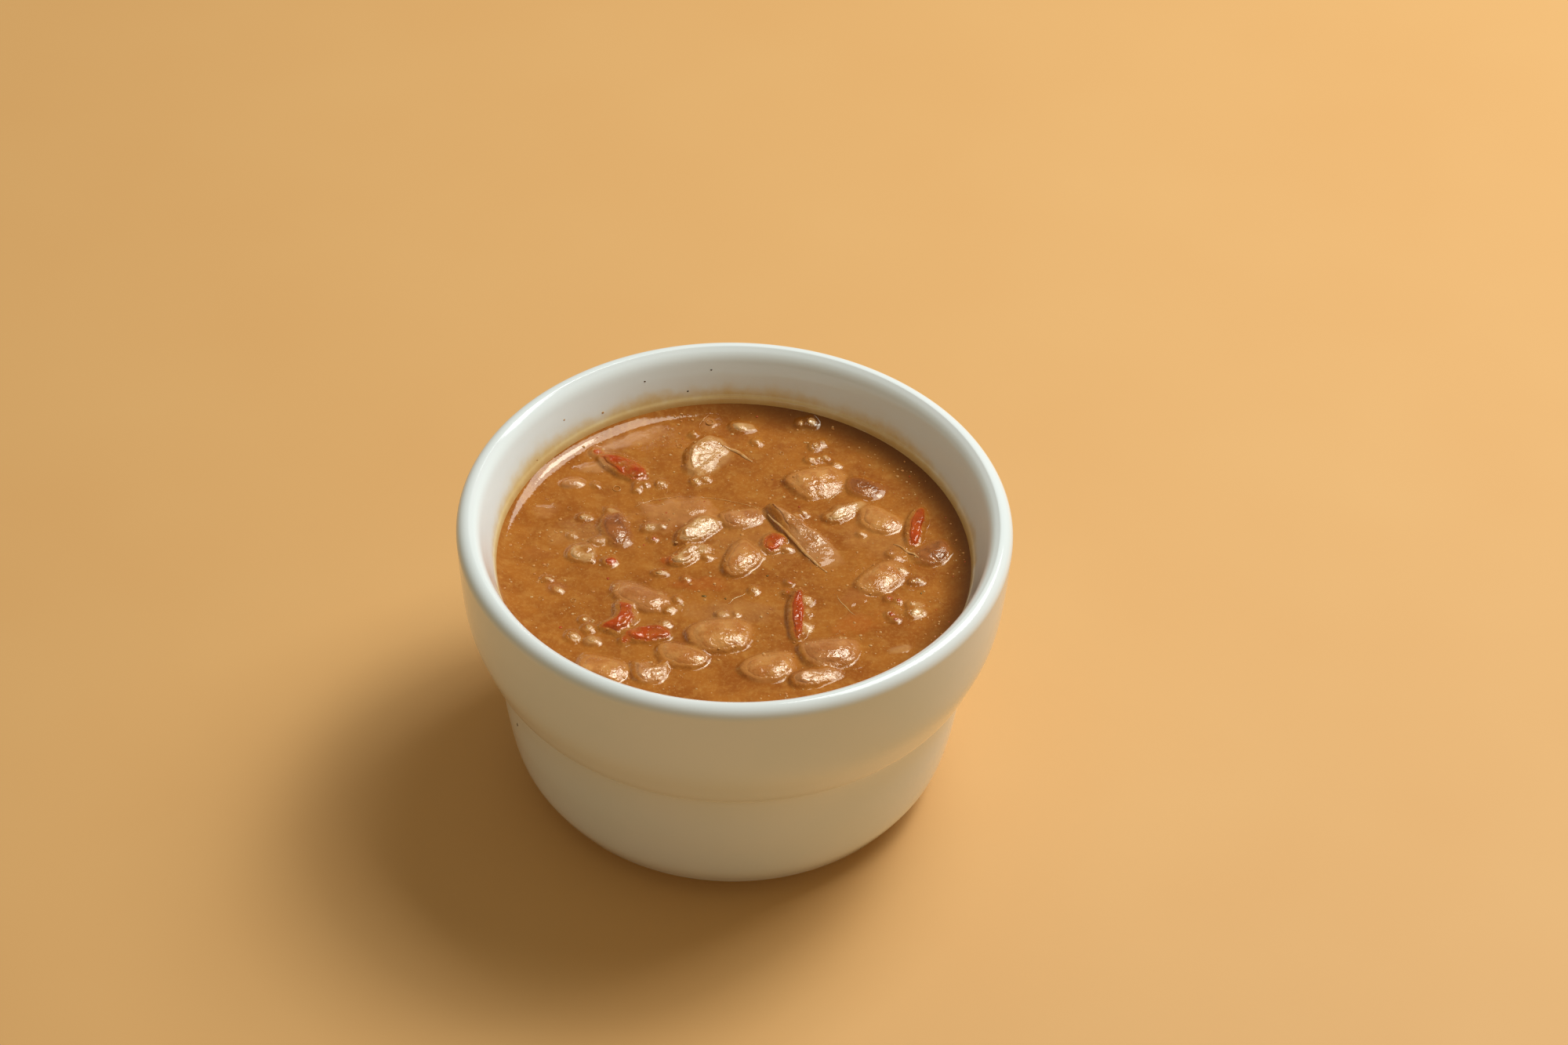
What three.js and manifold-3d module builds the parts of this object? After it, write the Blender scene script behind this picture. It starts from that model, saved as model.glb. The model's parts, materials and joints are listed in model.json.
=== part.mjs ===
// Bowl of charro beans: a thick white glazed stacking cup, filled with an orange-brown broth in
// which beans, ham, onion and tomato pieces float. Millimetres, +Z up. The foot ring stands on
// z = 0 with its middle on the origin. +X is to the right and +Y away from the front.
import * as THREE from "three";
import { mergeVertices } from "three/addons/utils/BufferGeometryUtils.js";
import Module from "manifold-3d";

const wasm = await Module();
wasm.setup();

// ---- Driving dimensions of the cup ----
const BOWL_HEIGHT = 63;
const RIM_RADIUS = 54;
const RIM_THICKNESS = 4.8;
const FOOT_OUTER_RADIUS = 36;
const FOOT_INNER_RADIUS = 31.8;
const FOOT_RECESS = 2.3;
const FOOT_RECESS_DOME = 0.7;
const FOOT_EDGE = 0.6; // the rounding of the foot ring's two edges
const FLOOR_HEIGHT = 6.8;

const BROTH_LEVEL = 50.5;
const BROTH_RADIUS = 46; // the inside of the wall at the broth's level

// The wall as [radius, height] stations: outside below the soft crease, outside above it in the
// band that flares to the lip, and inside from the lip down past the broth's level to the floor.
const LIP_START_HEIGHT = BOWL_HEIGHT - RIM_THICKNESS / 2;
const LOWER_BODY = [[40.4, 3.2], [43.5, 8.9], [45.3, 18], [46.3, 27], [47.3, 32.4]];
const FLARED_BAND = [[49.1, 34.3], [50.7, 38], [52.6, 44], [53.5, 52], [RIM_RADIUS, LIP_START_HEIGHT]];
const LIP_INSIDE = [RIM_RADIUS - RIM_THICKNESS, LIP_START_HEIGHT];
const INSIDE_WALL = [LIP_INSIDE, [BROTH_RADIUS, BROTH_LEVEL], [42.4, 32.4], [39.8, 16.2]];
const INSIDE_FLOOR = [[32, FLOOR_HEIGHT + 2.4], [18, FLOOR_HEIGHT + 0.3]];

// ---- Driving dimensions of the contents ----
const MENISCUS_RISE = 0.5;
const MENISCUS_WIDTH = 1.6;
const GAP = 0.3; // between pieces that touch
// How far a pocket's vertices move out so that its flat faces keep GAP: further at sharper edges.
const BEAN_POCKET = 0.36;
const SLICE_POCKET = 0.75;

// ---- How finely the round shapes are cut into flat faces ----
const AROUND = 40;
const LOWER_BODY_STEPS = 5;
const FLARED_BAND_STEPS = 6;
const LIP_STEPS = 6;
const INSIDE_STEPS = 10;
const BEAN_AROUND = 12;
const BEAN_ALONG = 6;
const SLICE_AROUND = 12;

const TAU = 2 * Math.PI;

// A smooth line through [radius, height] stations.
function smoothLine(stations, steps) {
  return new THREE.SplineCurve(stations.map(([r, z]) => new THREE.Vector2(r, z))).getPoints(steps);
}

// LatheGeometry turns its profile about Y, so the solid is stood up along Z.
function latheUp(profile) {
  return new THREE.LatheGeometry(profile, AROUND).rotateX(Math.PI / 2);
}

// The inside of the cup from the lip down to the middle of the floor, moved inwards by an inset
// so that the broth can use it too.
function innerWall(inset) {
  const wall = INSIDE_WALL.map(([radius, height]) => [radius - inset, height]);
  const floor = INSIDE_FLOOR.map(([radius, height]) => [radius - inset, height + inset]);
  return [...smoothLine([...wall, ...floor], INSIDE_STEPS), new THREE.Vector2(0, FLOOR_HEIGHT + inset)];
}

function underside() {
  const recess = [
    [0, FOOT_RECESS + FOOT_RECESS_DOME],
    [FOOT_INNER_RADIUS - 1.4, FOOT_RECESS],
    [FOOT_INNER_RADIUS, FOOT_EDGE],
  ];
  const ring = [
    [FOOT_INNER_RADIUS + FOOT_EDGE, 0],
    [FOOT_OUTER_RADIUS - FOOT_EDGE, 0],
    [FOOT_OUTER_RADIUS, FOOT_EDGE],
  ];
  const rootOfBody = [[FOOT_OUTER_RADIUS + 0.9, FOOT_RECESS - 0.3]];
  return [...recess, ...ring, ...rootOfBody].map(([radius, height]) => new THREE.Vector2(radius, height));
}

function outerWall() {
  return [...smoothLine(LOWER_BODY, LOWER_BODY_STEPS), ...smoothLine(FLARED_BAND, FLARED_BAND_STEPS)];
}

// Half a circle over the top of the wall, without its two ends, which the walls have already.
function roundedLip() {
  const half = RIM_THICKNESS / 2;
  const circle = new THREE.EllipseCurve(RIM_RADIUS - half, LIP_START_HEIGHT, half, half, 0, Math.PI);
  return circle.getPoints(LIP_STEPS).slice(1, -1);
}

function bowlGeometry() {
  return latheUp([...underside(), ...outerWall(), ...roundedLip(), ...innerWall(0)]);
}

// The broth fills the cup to its level, with a small rise where it wets the wall.
function brothGeometry() {
  const wall = innerWall(GAP).filter((point) => point.y < BROTH_LEVEL - 1);
  const edge = BROTH_RADIUS - GAP;
  const surface = [
    new THREE.Vector2(0, BROTH_LEVEL),
    new THREE.Vector2(edge - MENISCUS_WIDTH, BROTH_LEVEL),
    new THREE.Vector2(edge, BROTH_LEVEL + MENISCUS_RISE),
  ];
  return latheUp([...surface, ...wall].reverse());
}

// ---- Food shapes ----

// A cooked bean: an egg-round body, bent a little round its scar, with an uneven skin. "phase"
// makes each bean uneven in its own way.
function beanGeometry({ length, width, thickness }, phase) {
  const bend = 0.3;
  const geometry = new THREE.SphereGeometry(1, BEAN_AROUND, BEAN_ALONG);
  const position = geometry.attributes.position;
  for (let i = 0; i < position.count; i++) {
    const along = position.getY(i);
    const across = -position.getX(i);
    const up = position.getZ(i);
    const angle = Math.atan2(up, across);
    const slowWave = 0.04 * Math.sin(2 * angle + 3 * along + phase);
    const fastWave = 0.03 * Math.sin(3 * angle - phase);
    const uneven = 1 + slowWave + fastWave;
    const bent = across * uneven + bend * (along * along - 0.35);
    position.setXYZ(i, (along * length) / 2, (bent * width) / 2, (up * uneven * thickness) / 2);
  }
  geometry.computeVertexNormals();
  return geometry;
}

// A cut piece: an outline in parts of its half length and half width, with rounded edges. "curl"
// lifts its two long sides, "arch" its two ends, and "wave" ripples it.
function sliceGeometry({ length, width, thickness, outline, curl = 0, arch = 0, wave = 0 }) {
  const corners = outline.map(([along, across]) => new THREE.Vector3(along, across, 0));
  const edge = new THREE.CatmullRomCurve3(corners, true, "centripetal");
  const rim = edge.getSpacedPoints(SLICE_AROUND).slice(0, -1);
  const rings = [
    { size: 0.76, height: -0.5 },
    { size: 1, height: 0 },
    { size: 0.76, height: 0.5 },
  ];
  const middle = rim.reduce((sum, point) => sum.add(point), new THREE.Vector3()).divideScalar(rim.length);
  const vertices = [];
  const place = (along, across, height) => {
    const lift = curl * across * across + arch * along * along + wave * Math.sin(4 * along + 2 * across);
    vertices.push((along * length) / 2, (across * width) / 2, height * thickness + lift);
  };
  for (const { size, height } of rings) {
    for (const point of rim) {
      place(middle.x + (point.x - middle.x) * size, middle.y + (point.y - middle.y) * size, height);
    }
  }
  place(middle.x, middle.y, rings[0].height);
  place(middle.x, middle.y, rings[rings.length - 1].height);
  return closedRings(vertices, rim.length, rings.length);
}

// Joins stacked rings of vertices and closes them with the two middle points that follow the rings.
function closedRings(vertices, perRing, ringCount) {
  const faces = [];
  const bottom = perRing * ringCount;
  const top = bottom + 1;
  const last = perRing * (ringCount - 1);
  for (let i = 0; i < perRing; i++) {
    const next = (i + 1) % perRing;
    for (let ring = 0; ring < ringCount - 1; ring++) {
      const low = ring * perRing;
      const high = low + perRing;
      faces.push(low + i, low + next, high + next, low + i, high + next, high + i);
    }
    faces.push(bottom, next, i, top, last + i, last + next);
  }
  const geometry = new THREE.BufferGeometry();
  geometry.setAttribute("position", new THREE.Float32BufferAttribute(vertices, 3));
  geometry.setIndex(faces);
  geometry.computeVertexNormals();
  return geometry;
}

// Outlines of cut pieces, anticlockwise, in parts of the half length and half width.
const WEDGE = [[-1, -0.5], [0, -1], [1, -0.6], [0.9, 0.5], [0.2, 1], [-0.8, 0.6]];
const PETAL = [[-1, -0.3], [-0.3, -0.9], [0.6, -1], [1, 0.1], [0.5, 0.9], [-0.5, 0.8]];
const TRIANGLE = [[-1, 0.3], [-0.4, -0.5], [0.7, -1], [1, -0.2], [0.9, 0.7], [0, 1], [-0.8, 0.8]];
const STRIP = [[-1, -0.4], [-0.4, -1], [0.5, -0.8], [1, -0.3], [0.9, 0.6], [0.1, 0.9], [-0.9, 0.5]];
const HOOK = [[-1, 0.8], [-0.7, -0.6], [0.1, -1], [0.9, -0.2], [1, 0.9], [0.3, 0.2], [-0.3, 0.3]];

// ---- Colours, from the food's lit and unlit sides ----
const GLAZE = { color: 0xeaf0ec, roughness: 0.08, metalness: 0 };
const BROTH = { color: 0xaa6226, roughness: 0.12, metalness: 0 };
const TAN_BEAN = { color: 0xc98c52, roughness: 0.25, metalness: 0 };
const PINK_BEAN = { color: 0xb5734c, roughness: 0.25, metalness: 0 };
const DARK_BEAN = { color: 0x7c3a22, roughness: 0.22, metalness: 0 };
const HAM = { color: 0xd79a70, roughness: 0.3, metalness: 0 };
const ONION = { color: 0xe2bd84, roughness: 0.2, metalness: 0 };
const TOMATO = { color: 0xb23e1a, roughness: 0.2, metalness: 0 };

// Each piece: its middle at x, y; "rise" is how far its highest point stands over the broth;
// "turn" is the angle of its long way from +X, and "roll" its lean about that way, in degrees.
const BEANS = [
  {
    name: "bean_01", look: TAN_BEAN, x: 16.2, y: 24.7,
    length: 12.6, width: 8.8, thickness: 7, turn: 22, rise: 2.3, roll: -8,
  },
  {
    name: "bean_02", look: DARK_BEAN, x: 26, y: 23,
    length: 8.4, width: 5.6, thickness: 4.6, turn: -14, rise: 1.4,
  },
  {
    name: "bean_03", look: TAN_BEAN, x: 28.6, y: 13.7,
    length: 9.8, width: 7.2, thickness: 5.8, turn: -30, rise: 1.7,
  },
  {
    name: "bean_04", look: DARK_BEAN, x: 39.2, y: 4.8,
    length: 9, width: 6.4, thickness: 5.4, turn: 34, rise: 1.6,
  },
  {
    name: "bean_05", look: TAN_BEAN, x: 29.3, y: -3.1,
    length: 11.2, width: 6.6, thickness: 5.6, turn: 46, rise: 2,
  },
  {
    name: "bean_06", look: TAN_BEAN, x: 1.8, y: 0.8,
    length: 9.6, width: 7.4, thickness: 6, turn: 66, rise: 2.4, roll: 14,
  },
  {
    name: "bean_07", look: PINK_BEAN, x: 1.8, y: 13,
    length: 9.4, width: 5.2, thickness: 5, turn: 14, rise: 1.7,
  },
  {
    name: "bean_08", look: PINK_BEAN, x: -9.4, y: 15.6,
    length: 10.2, width: 6.4, thickness: 5.2, turn: 14, rise: 0.9,
  },
  {
    name: "bean_09", look: DARK_BEAN, x: -22.8, y: 7.8,
    length: 11.4, width: 5.8, thickness: 5.2, turn: -70, rise: 1.8,
  },
  {
    name: "bean_10", look: PINK_BEAN, x: -18, y: -10.4,
    length: 12.2, width: 6.6, thickness: 5.6, turn: -27, rise: 1.7,
  },
  {
    name: "bean_11", look: TAN_BEAN, x: -2, y: -20.6,
    length: 12.8, width: 8.4, thickness: 7.2, turn: 15, rise: 2.6, roll: -6,
  },
  {
    name: "bean_12", look: TAN_BEAN, x: -9.2, y: -26.4,
    length: 10, width: 5.2, thickness: 5, turn: -16, rise: 1.8,
  },
  {
    name: "bean_13", look: TAN_BEAN, x: 7.6, y: -28.8,
    length: 11.2, width: 7.6, thickness: 6.4, turn: 26, rise: 1.9,
  },
  {
    name: "bean_14", look: PINK_BEAN, x: 19.4, y: -24.4,
    length: 11.4, width: 7.4, thickness: 6.2, turn: 10, rise: 2.5,
  },
  {
    name: "bean_15", look: TAN_BEAN, x: -24.2, y: -30.6,
    length: 10.8, width: 7, thickness: 6, turn: -24, rise: 1.8,
  },
];

const SLICES = [
  {
    name: "ham_slice", look: HAM, outline: TRIANGLE,
    x: 13.6, y: 8.6, length: 20.4, width: 8.6, thickness: 2, turn: -44, rise: 2.2, roll: 9, wave: 0.25,
  },
  {
    name: "ham_strip", look: HAM, outline: STRIP,
    x: 17, y: -31.2, length: 9.2, width: 4, thickness: 2.4, turn: 15, rise: 1.5, curl: -0.4,
  },
  {
    name: "ham_curl", look: HAM, outline: HOOK,
    x: -15, y: -31.6, length: 6.2, width: 5.8, thickness: 2, turn: 0, rise: 1.5, wave: 0.3,
  },
  {
    name: "onion_petal", look: ONION, outline: PETAL,
    x: -6.2, y: 30.6, length: 13.2, width: 9.2, thickness: 2.6, turn: 60, rise: 2.3, arch: -0.9, curl: -0.6,
  },
  {
    name: "onion_wedge", look: ONION, outline: WEDGE,
    x: -7.2, y: 9, length: 9.2, width: 4.6, thickness: 2.2, turn: 42, rise: 2, curl: -0.5,
  },
  {
    name: "onion_strip", look: ONION, outline: STRIP,
    x: -8.4, y: 2.4, length: 9, width: 3, thickness: 1.8, turn: 35, rise: 1.4, wave: 0.3,
  },
  {
    name: "onion_sliver", look: ONION, outline: STRIP,
    x: 21.8, y: 16.2, length: 8.8, width: 2.8, thickness: 1.6, turn: 33, rise: 1.2, arch: -0.4,
  },
  {
    name: "onion_bit", look: ONION, outline: WEDGE,
    x: -29.4, y: 1.2, length: 5, width: 4.2, thickness: 1.5, turn: -18, rise: 1, wave: 0.25,
  },
  {
    name: "tomato_chunk", look: TOMATO, outline: PETAL,
    x: -22.8, y: 27.4, length: 11, width: 5.6, thickness: 3, turn: -34, rise: 1.5, curl: -0.6,
  },
  {
    name: "tomato_curl", look: TOMATO, outline: HOOK,
    x: -21.4, y: -17.2, length: 7.4, width: 5.4, thickness: 1.8, turn: 62, rise: 1.7, curl: -0.6,
  },
  {
    name: "tomato_skin", look: TOMATO, outline: STRIP,
    x: -16, y: -20.8, length: 8.4, width: 4, thickness: 1.8, turn: 8, rise: 1.5, wave: 0.3,
  },
  {
    name: "tomato_bit", look: TOMATO, outline: WEDGE,
    x: 7.6, y: 5.8, length: 5.2, width: 3.2, thickness: 1.8, turn: 60, rise: 1.1, curl: -0.3,
  },
  {
    name: "pepper_strip", look: TOMATO, outline: STRIP,
    x: 35.6, y: 12, length: 11.4, width: 3.2, thickness: 2, turn: -100, rise: 1.3, arch: -0.3,
  },
  {
    name: "pepper_piece", look: TOMATO, outline: STRIP,
    x: 12.8, y: -14.5, length: 12.4, width: 4.2, thickness: 2.6, turn: -92, rise: 1.8, arch: 0.3,
  },
];

// ---- Putting it together ----

function meshOf(name, geometry, look) {
  const mesh = new THREE.Mesh(geometry, new THREE.MeshStandardMaterial(look));
  mesh.name = name;
  return mesh;
}

// Turns a piece and lifts it until its highest point stands "rise" over the broth.
function floated(geometry, { name, look, x, y, turn, rise, roll = 0 }) {
  const mesh = meshOf(name, geometry, look);
  mesh.rotation.set(THREE.MathUtils.degToRad(roll), 0, THREE.MathUtils.degToRad(turn), "ZYX");
  mesh.updateMatrixWorld();
  const top = new THREE.Box3().setFromObject(mesh, true).max.z;
  mesh.position.set(x, y, BROTH_LEVEL + rise - top);
  mesh.updateMatrixWorld();
  return mesh;
}

// The mesh's shape in the part's frame, with shared vertices merged and each vertex moved
// outwards by "swell".
function placedGeometry(mesh, swell) {
  const placed = mesh.geometry.clone().applyMatrix4(mesh.matrixWorld);
  placed.deleteAttribute("normal");
  placed.deleteAttribute("uv");
  const merged = mergeVertices(placed, 1e-3);
  merged.computeVertexNormals();
  const { position, normal } = merged.attributes;
  for (let i = 0; i < position.count; i++) {
    position.setXYZ(
      i,
      position.getX(i) + swell * normal.getX(i),
      position.getY(i) + swell * normal.getY(i),
      position.getZ(i) + swell * normal.getZ(i),
    );
  }
  return merged;
}

function solidOf(mesh, swell = 0) {
  const merged = placedGeometry(mesh, swell);
  const vertProperties = merged.attributes.position.array;
  const triVerts = new Uint32Array(merged.index.array);
  return new wasm.Manifold(new wasm.Mesh({ numProp: 3, vertProperties, triVerts }));
}

function geometryOf(solid) {
  const { numProp, vertProperties, triVerts } = solid.getMesh();
  const geometry = new THREE.BufferGeometry();
  const places = new THREE.InterleavedBuffer(vertProperties, numProp);
  geometry.setAttribute("position", new THREE.InterleavedBufferAttribute(places, 3, 0));
  geometry.setIndex(new THREE.BufferAttribute(triVerts, 1));
  return geometry.toNonIndexed();
}

// The broth's biggest body: where two pockets meet, they cut a sliver free, and it is left out.
function withoutSlivers(solid) {
  return solid.decompose().sort((a, b) => b.volume() - a.volume())[0];
}

function brothRoundPieces(beans, slices) {
  const whole = solidOf(meshOf("broth", brothGeometry(), BROTH));
  const pockets = [
    ...beans.map((bean) => solidOf(bean, BEAN_POCKET)),
    ...slices.map((slice) => solidOf(slice, SLICE_POCKET)),
  ];
  const cut = pockets.reduce((broth, pocket) => broth.subtract(pocket), whole);
  return meshOf("broth", geometryOf(withoutSlivers(cut)), BROTH);
}

const beans = BEANS.map((bean, i) => floated(beanGeometry(bean, (i * TAU) / 5), bean));
const slices = SLICES.map((slice) => floated(sliceGeometry(slice), slice));

const bowlOfCharroBeans = new THREE.Group();
bowlOfCharroBeans.add(meshOf("bowl", bowlGeometry(), GLAZE));
bowlOfCharroBeans.add(brothRoundPieces(beans, slices));
bowlOfCharroBeans.add(...beans, ...slices);

export default bowlOfCharroBeans;
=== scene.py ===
"""A bowl of charro beans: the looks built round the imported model.

Everything is worked out in millimetres in the part's frame, and scaled to metres as each mesh is
made. The order is: camera and light, the pieces of food, the broth that wets them, the cup.
"""

import itertools
import json
import math

import bmesh
import bpy
import numpy as np
from mathutils import Matrix, Vector
from mathutils.bvhtree import BVHTree


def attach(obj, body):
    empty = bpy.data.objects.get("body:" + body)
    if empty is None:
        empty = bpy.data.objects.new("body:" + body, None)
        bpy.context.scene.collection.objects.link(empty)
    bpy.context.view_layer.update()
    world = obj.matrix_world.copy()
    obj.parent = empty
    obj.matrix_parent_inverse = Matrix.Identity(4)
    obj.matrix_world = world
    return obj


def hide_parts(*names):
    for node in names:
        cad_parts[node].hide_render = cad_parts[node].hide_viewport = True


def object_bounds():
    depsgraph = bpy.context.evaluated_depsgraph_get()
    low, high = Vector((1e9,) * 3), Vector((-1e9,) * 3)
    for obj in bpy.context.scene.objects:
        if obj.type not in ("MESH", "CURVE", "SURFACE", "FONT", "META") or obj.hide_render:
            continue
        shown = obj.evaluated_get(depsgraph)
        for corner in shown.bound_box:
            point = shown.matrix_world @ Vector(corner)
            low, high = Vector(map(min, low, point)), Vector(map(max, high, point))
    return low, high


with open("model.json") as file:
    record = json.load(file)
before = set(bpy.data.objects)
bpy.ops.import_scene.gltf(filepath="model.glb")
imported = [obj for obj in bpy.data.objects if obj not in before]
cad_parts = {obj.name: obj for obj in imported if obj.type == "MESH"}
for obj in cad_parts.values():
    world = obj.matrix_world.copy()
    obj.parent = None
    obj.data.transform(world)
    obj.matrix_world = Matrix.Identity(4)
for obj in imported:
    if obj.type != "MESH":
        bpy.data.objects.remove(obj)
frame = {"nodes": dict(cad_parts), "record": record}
CAD_BOX = [list(corner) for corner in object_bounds()]
MM = 0.001

# ---- Driving dimensions, in millimetres ----
RIM_RADIUS = CAD_BOX[1][0] / MM
BOWL_HEIGHT = CAD_BOX[1][2] / MM
LIP_RADIUS = 2.4
FOOT_OUTER_RADIUS = 36
FOOT_INNER_RADIUS = 31.8
FOOT_EDGE = 0.6
FOOT_RECESS = 2.3
FOOT_RECESS_DOME = 0.7
FLOOR_HEIGHT = 6.8

BROTH_LEVEL = 50.5
WALL_AT_BROTH = 46.0
WALL_FLARE = 0.317  # how much wider the inside gets for each millimetre up, at the broth
BROTH_EDGE = 46.9  # the broth's surface runs this far, just into the wall

# The wall's [radius, height] stations: the outside up to the lip, and the inside down to the floor.
LIP_START = BOWL_HEIGHT - LIP_RADIUS
OUTSIDE = [
    [40.4, 3.2], [43.5, 8.9], [45.3, 18], [46.3, 27], [47.3, 32.4], [49.1, 34.3], [50.7, 38],
    [52.6, 44], [53.5, 52], [RIM_RADIUS, LIP_START],
]
LIP_END_TURN = 95  # degrees round the lip, where its softer inner side takes over
LIP_END = [
    RIM_RADIUS - LIP_RADIUS + LIP_RADIUS * math.cos(math.radians(LIP_END_TURN)),
    LIP_START + LIP_RADIUS * math.sin(math.radians(LIP_END_TURN)),
]
INNER_WALL = [
    [WALL_AT_BROTH, BROTH_LEVEL], [47.1, 54], [48.06, 57], [48.74, 59], [49.52, 61],
    [50.35, 62.2], LIP_END,
]
INSIDE_BELOW = [
    [42.4, 32.4], [39.8, 16.2], [32, FLOOR_HEIGHT + 2.4], [18, FLOOR_HEIGHT + 0.3],
    [0, FLOOR_HEIGHT],
]
INSIDE = [*reversed(INNER_WALL), *INSIDE_BELOW]
# The inner wall as heights and radii, kept off the lip, and how far out from it the inside ends.
INSIDE_HEIGHTS = [0, 16.2, 32.4, BROTH_LEVEL, 57.0, 61.0, BOWL_HEIGHT]
INSIDE_RADII = [0, 39.8, 42.4, WALL_AT_BROTH, 48.1, 49.5, 50.0]
INSIDE_ENDS = (1.3, 0.3)

# ---- The camera, fitted to the cup's outline, lip and crease ----
CAMERA_PLACE = (9.5, -660.8, 661.5)
CAMERA_PITCH = 42.22  # degrees below the horizon
CAMERA_ROLL = -1.73
CAMERA_LENS = 105.7
SENSOR_WIDTH = 36
NEAREST_SEEN = 0.01


# ---- Colours ----

def linear(red, green, blue):
    """A colour of 0 to 255 screen values as the linear RGBA that a shader takes."""
    shares = [value / 255 for value in (red, green, blue)]
    curve = [c / 12.92 if c <= 0.04045 else ((c + 0.055) / 1.055) ** 2.4 for c in shares]
    return (*curve, 1.0)


GLAZE_WHITE = linear(237, 241, 238)
GLAZE_SHADE = linear(233, 239, 236)
# Painted light: the inner wall's glaze is painted lighter than the outer wall's.
GLAZE_INSIDE_PAINTED_LIGHT = linear(243, 250, 247)
STAIN_FAINT = linear(236, 222, 184)
STAIN_DRIED = linear(228, 194, 118)
STAIN_FRESH = linear(206, 152, 70)
BISQUE_LIGHT, BISQUE_DARK = linear(214, 206, 190), linear(196, 184, 164)
SPECK_DARK, SPECK_LIGHT = linear(58, 44, 30), linear(96, 74, 50)
FLOOR_COLOUR, FLOOR_PALE = linear(224, 170, 102), linear(228, 178, 111)
BROTH_MAIN = linear(174, 104, 36)
BROTH_DEEP = linear(152, 82, 24)
BROTH_GOLD = linear(202, 144, 70)
BROTH_GRAIN = linear(214, 158, 92)
# Painted shadow: the dark brown laid on the broth where the wall shades it.
WALL_SHADOW_TONE = linear(104, 54, 10)
OILY_GLOSS = (1.0, 0.93, 0.74, 1.0)
LOOKS = {
    kind: {"light": linear(*light), "dark": linear(*dark)} for kind, light, dark in [
        ("bean_tan", (217, 154, 86), (186, 112, 50)),
        ("bean_pink", (212, 147, 88), (174, 104, 54)),
        ("bean_dark", (170, 98, 52), (104, 46, 24)),
        ("ham", (212, 156, 104), (176, 108, 52)),
        ("onion", (224, 180, 122), (190, 128, 60)),
        ("tomato", (196, 62, 10), (160, 34, 4)),
        ("herb", (104, 96, 30), (70, 62, 18)),
    ]
}


def average(kind):
    """The colour of a kind of food, as seen from far off."""
    look = LOOKS[kind]
    return tuple(0.6 * light + 0.4 * dark for light, dark in zip(look["light"], look["dark"]))


# ---- Smooth random unevenness ----

def lumps(points, size, seed):
    """Gradient noise, about -1 to 1, with lumps "size" millimetres across, at (n, 3) points."""
    random = np.random.default_rng(seed)
    order = random.permutation(256)
    slopes = random.normal(size=(256, 3))
    slopes /= np.linalg.norm(slopes, axis=1, keepdims=True)
    scaled = points / size
    corner = np.floor(scaled).astype(int)
    inside = scaled - corner
    fade = inside**3 * (inside * (inside * 6 - 15) + 10)
    total = np.zeros(len(points))
    for offset in itertools.product((0, 1), repeat=3):
        cell = (corner + offset) & 255
        key = order[(order[(order[cell[:, 0]] + cell[:, 1]) & 255] + cell[:, 2]) & 255]
        along = np.einsum("ij,ij->i", slopes[key], inside - offset)
        total += along * np.prod(np.where(offset, fade, 1 - fade), axis=1)
    return 1.6 * total


def layered(points, size, seed, layers=3):
    """Lumps of a size with finer and fainter ones on them."""
    return sum(lumps(points, size / 2**k, seed + k) / 2**k for k in range(layers))


def smooth_step(low, high, value):
    share = np.clip((value - low) / (high - low), 0, 1)
    return share * share * (3 - 2 * share)


# ---- Meshes ----

def placed(name, data):
    """An object with this data, put in the scene."""
    made = bpy.data.objects.new(name, data)
    bpy.context.scene.collection.objects.link(made)
    return made


def make_object(name, points, faces, materials):
    """A smooth-shaded object from points in millimetres."""
    mesh = bpy.data.meshes.new(name)
    mesh.from_pydata((np.asarray(points) * MM).tolist(), [], [list(face) for face in faces])
    mesh.shade_smooth()
    for material in materials:
        mesh.materials.append(material)
    return placed(name, mesh)


def set_number(made, name, values):
    """Keeps one number for each vertex, for the material to read."""
    attribute = made.data.attributes.new(name, "FLOAT", "POINT")
    attribute.data.foreach_set("value", np.asarray(values, np.float32))


def set_colour(made, name, colours):
    """Keeps one colour for each vertex, for the material to read."""
    attribute = made.data.attributes.new(name, "FLOAT_COLOR", "POINT")
    attribute.data.foreach_set("color", np.asarray(colours, np.float32).ravel())


def part_of_bowl(made, node=None):
    """Hangs a piece under the root body and, where it stands for a node, hides that node."""
    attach(made, "root")
    if node:
        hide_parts(node)


def softened(node, voxel, rounds):
    """A CAD node's shape as even, rounded quads: its points in millimetres, and its faces."""
    mesh = frame["nodes"][node].data.copy()
    worker = placed("worker", mesh)
    weld = worker.modifiers.new("weld", "WELD")
    weld.merge_threshold = 1e-6
    remesh = worker.modifiers.new("remesh", "REMESH")
    remesh.mode = "VOXEL"
    remesh.voxel_size = voxel * MM
    smooth = worker.modifiers.new("smooth", "SMOOTH")
    smooth.factor = 0.5
    smooth.iterations = rounds
    shaped = worker.evaluated_get(bpy.context.evaluated_depsgraph_get()).to_mesh()
    points = np.zeros(len(shaped.vertices) * 3, np.float32)
    shaped.vertices.foreach_get("co", points)
    faces = [tuple(polygon.vertices) for polygon in shaped.polygons]
    bpy.data.objects.remove(worker)
    bpy.data.meshes.remove(mesh)
    return points.reshape(-1, 3).astype(float) / MM, faces


def outward(points, faces):
    """Each point's outward direction."""
    quads = np.array([face if len(face) == 4 else (*face, face[2]) for face in faces])
    across = points[quads[:, 2]] - points[quads[:, 0]]
    along = points[quads[:, 3]] - points[quads[:, 1]]
    direction = np.cross(across, along)
    total = np.zeros_like(points)
    for corner in range(4):
        np.add.at(total, quads[:, corner], direction)
    return total / np.maximum(np.linalg.norm(total, axis=1, keepdims=True), 1e-12)


# ---- Material nodes ----

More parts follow.
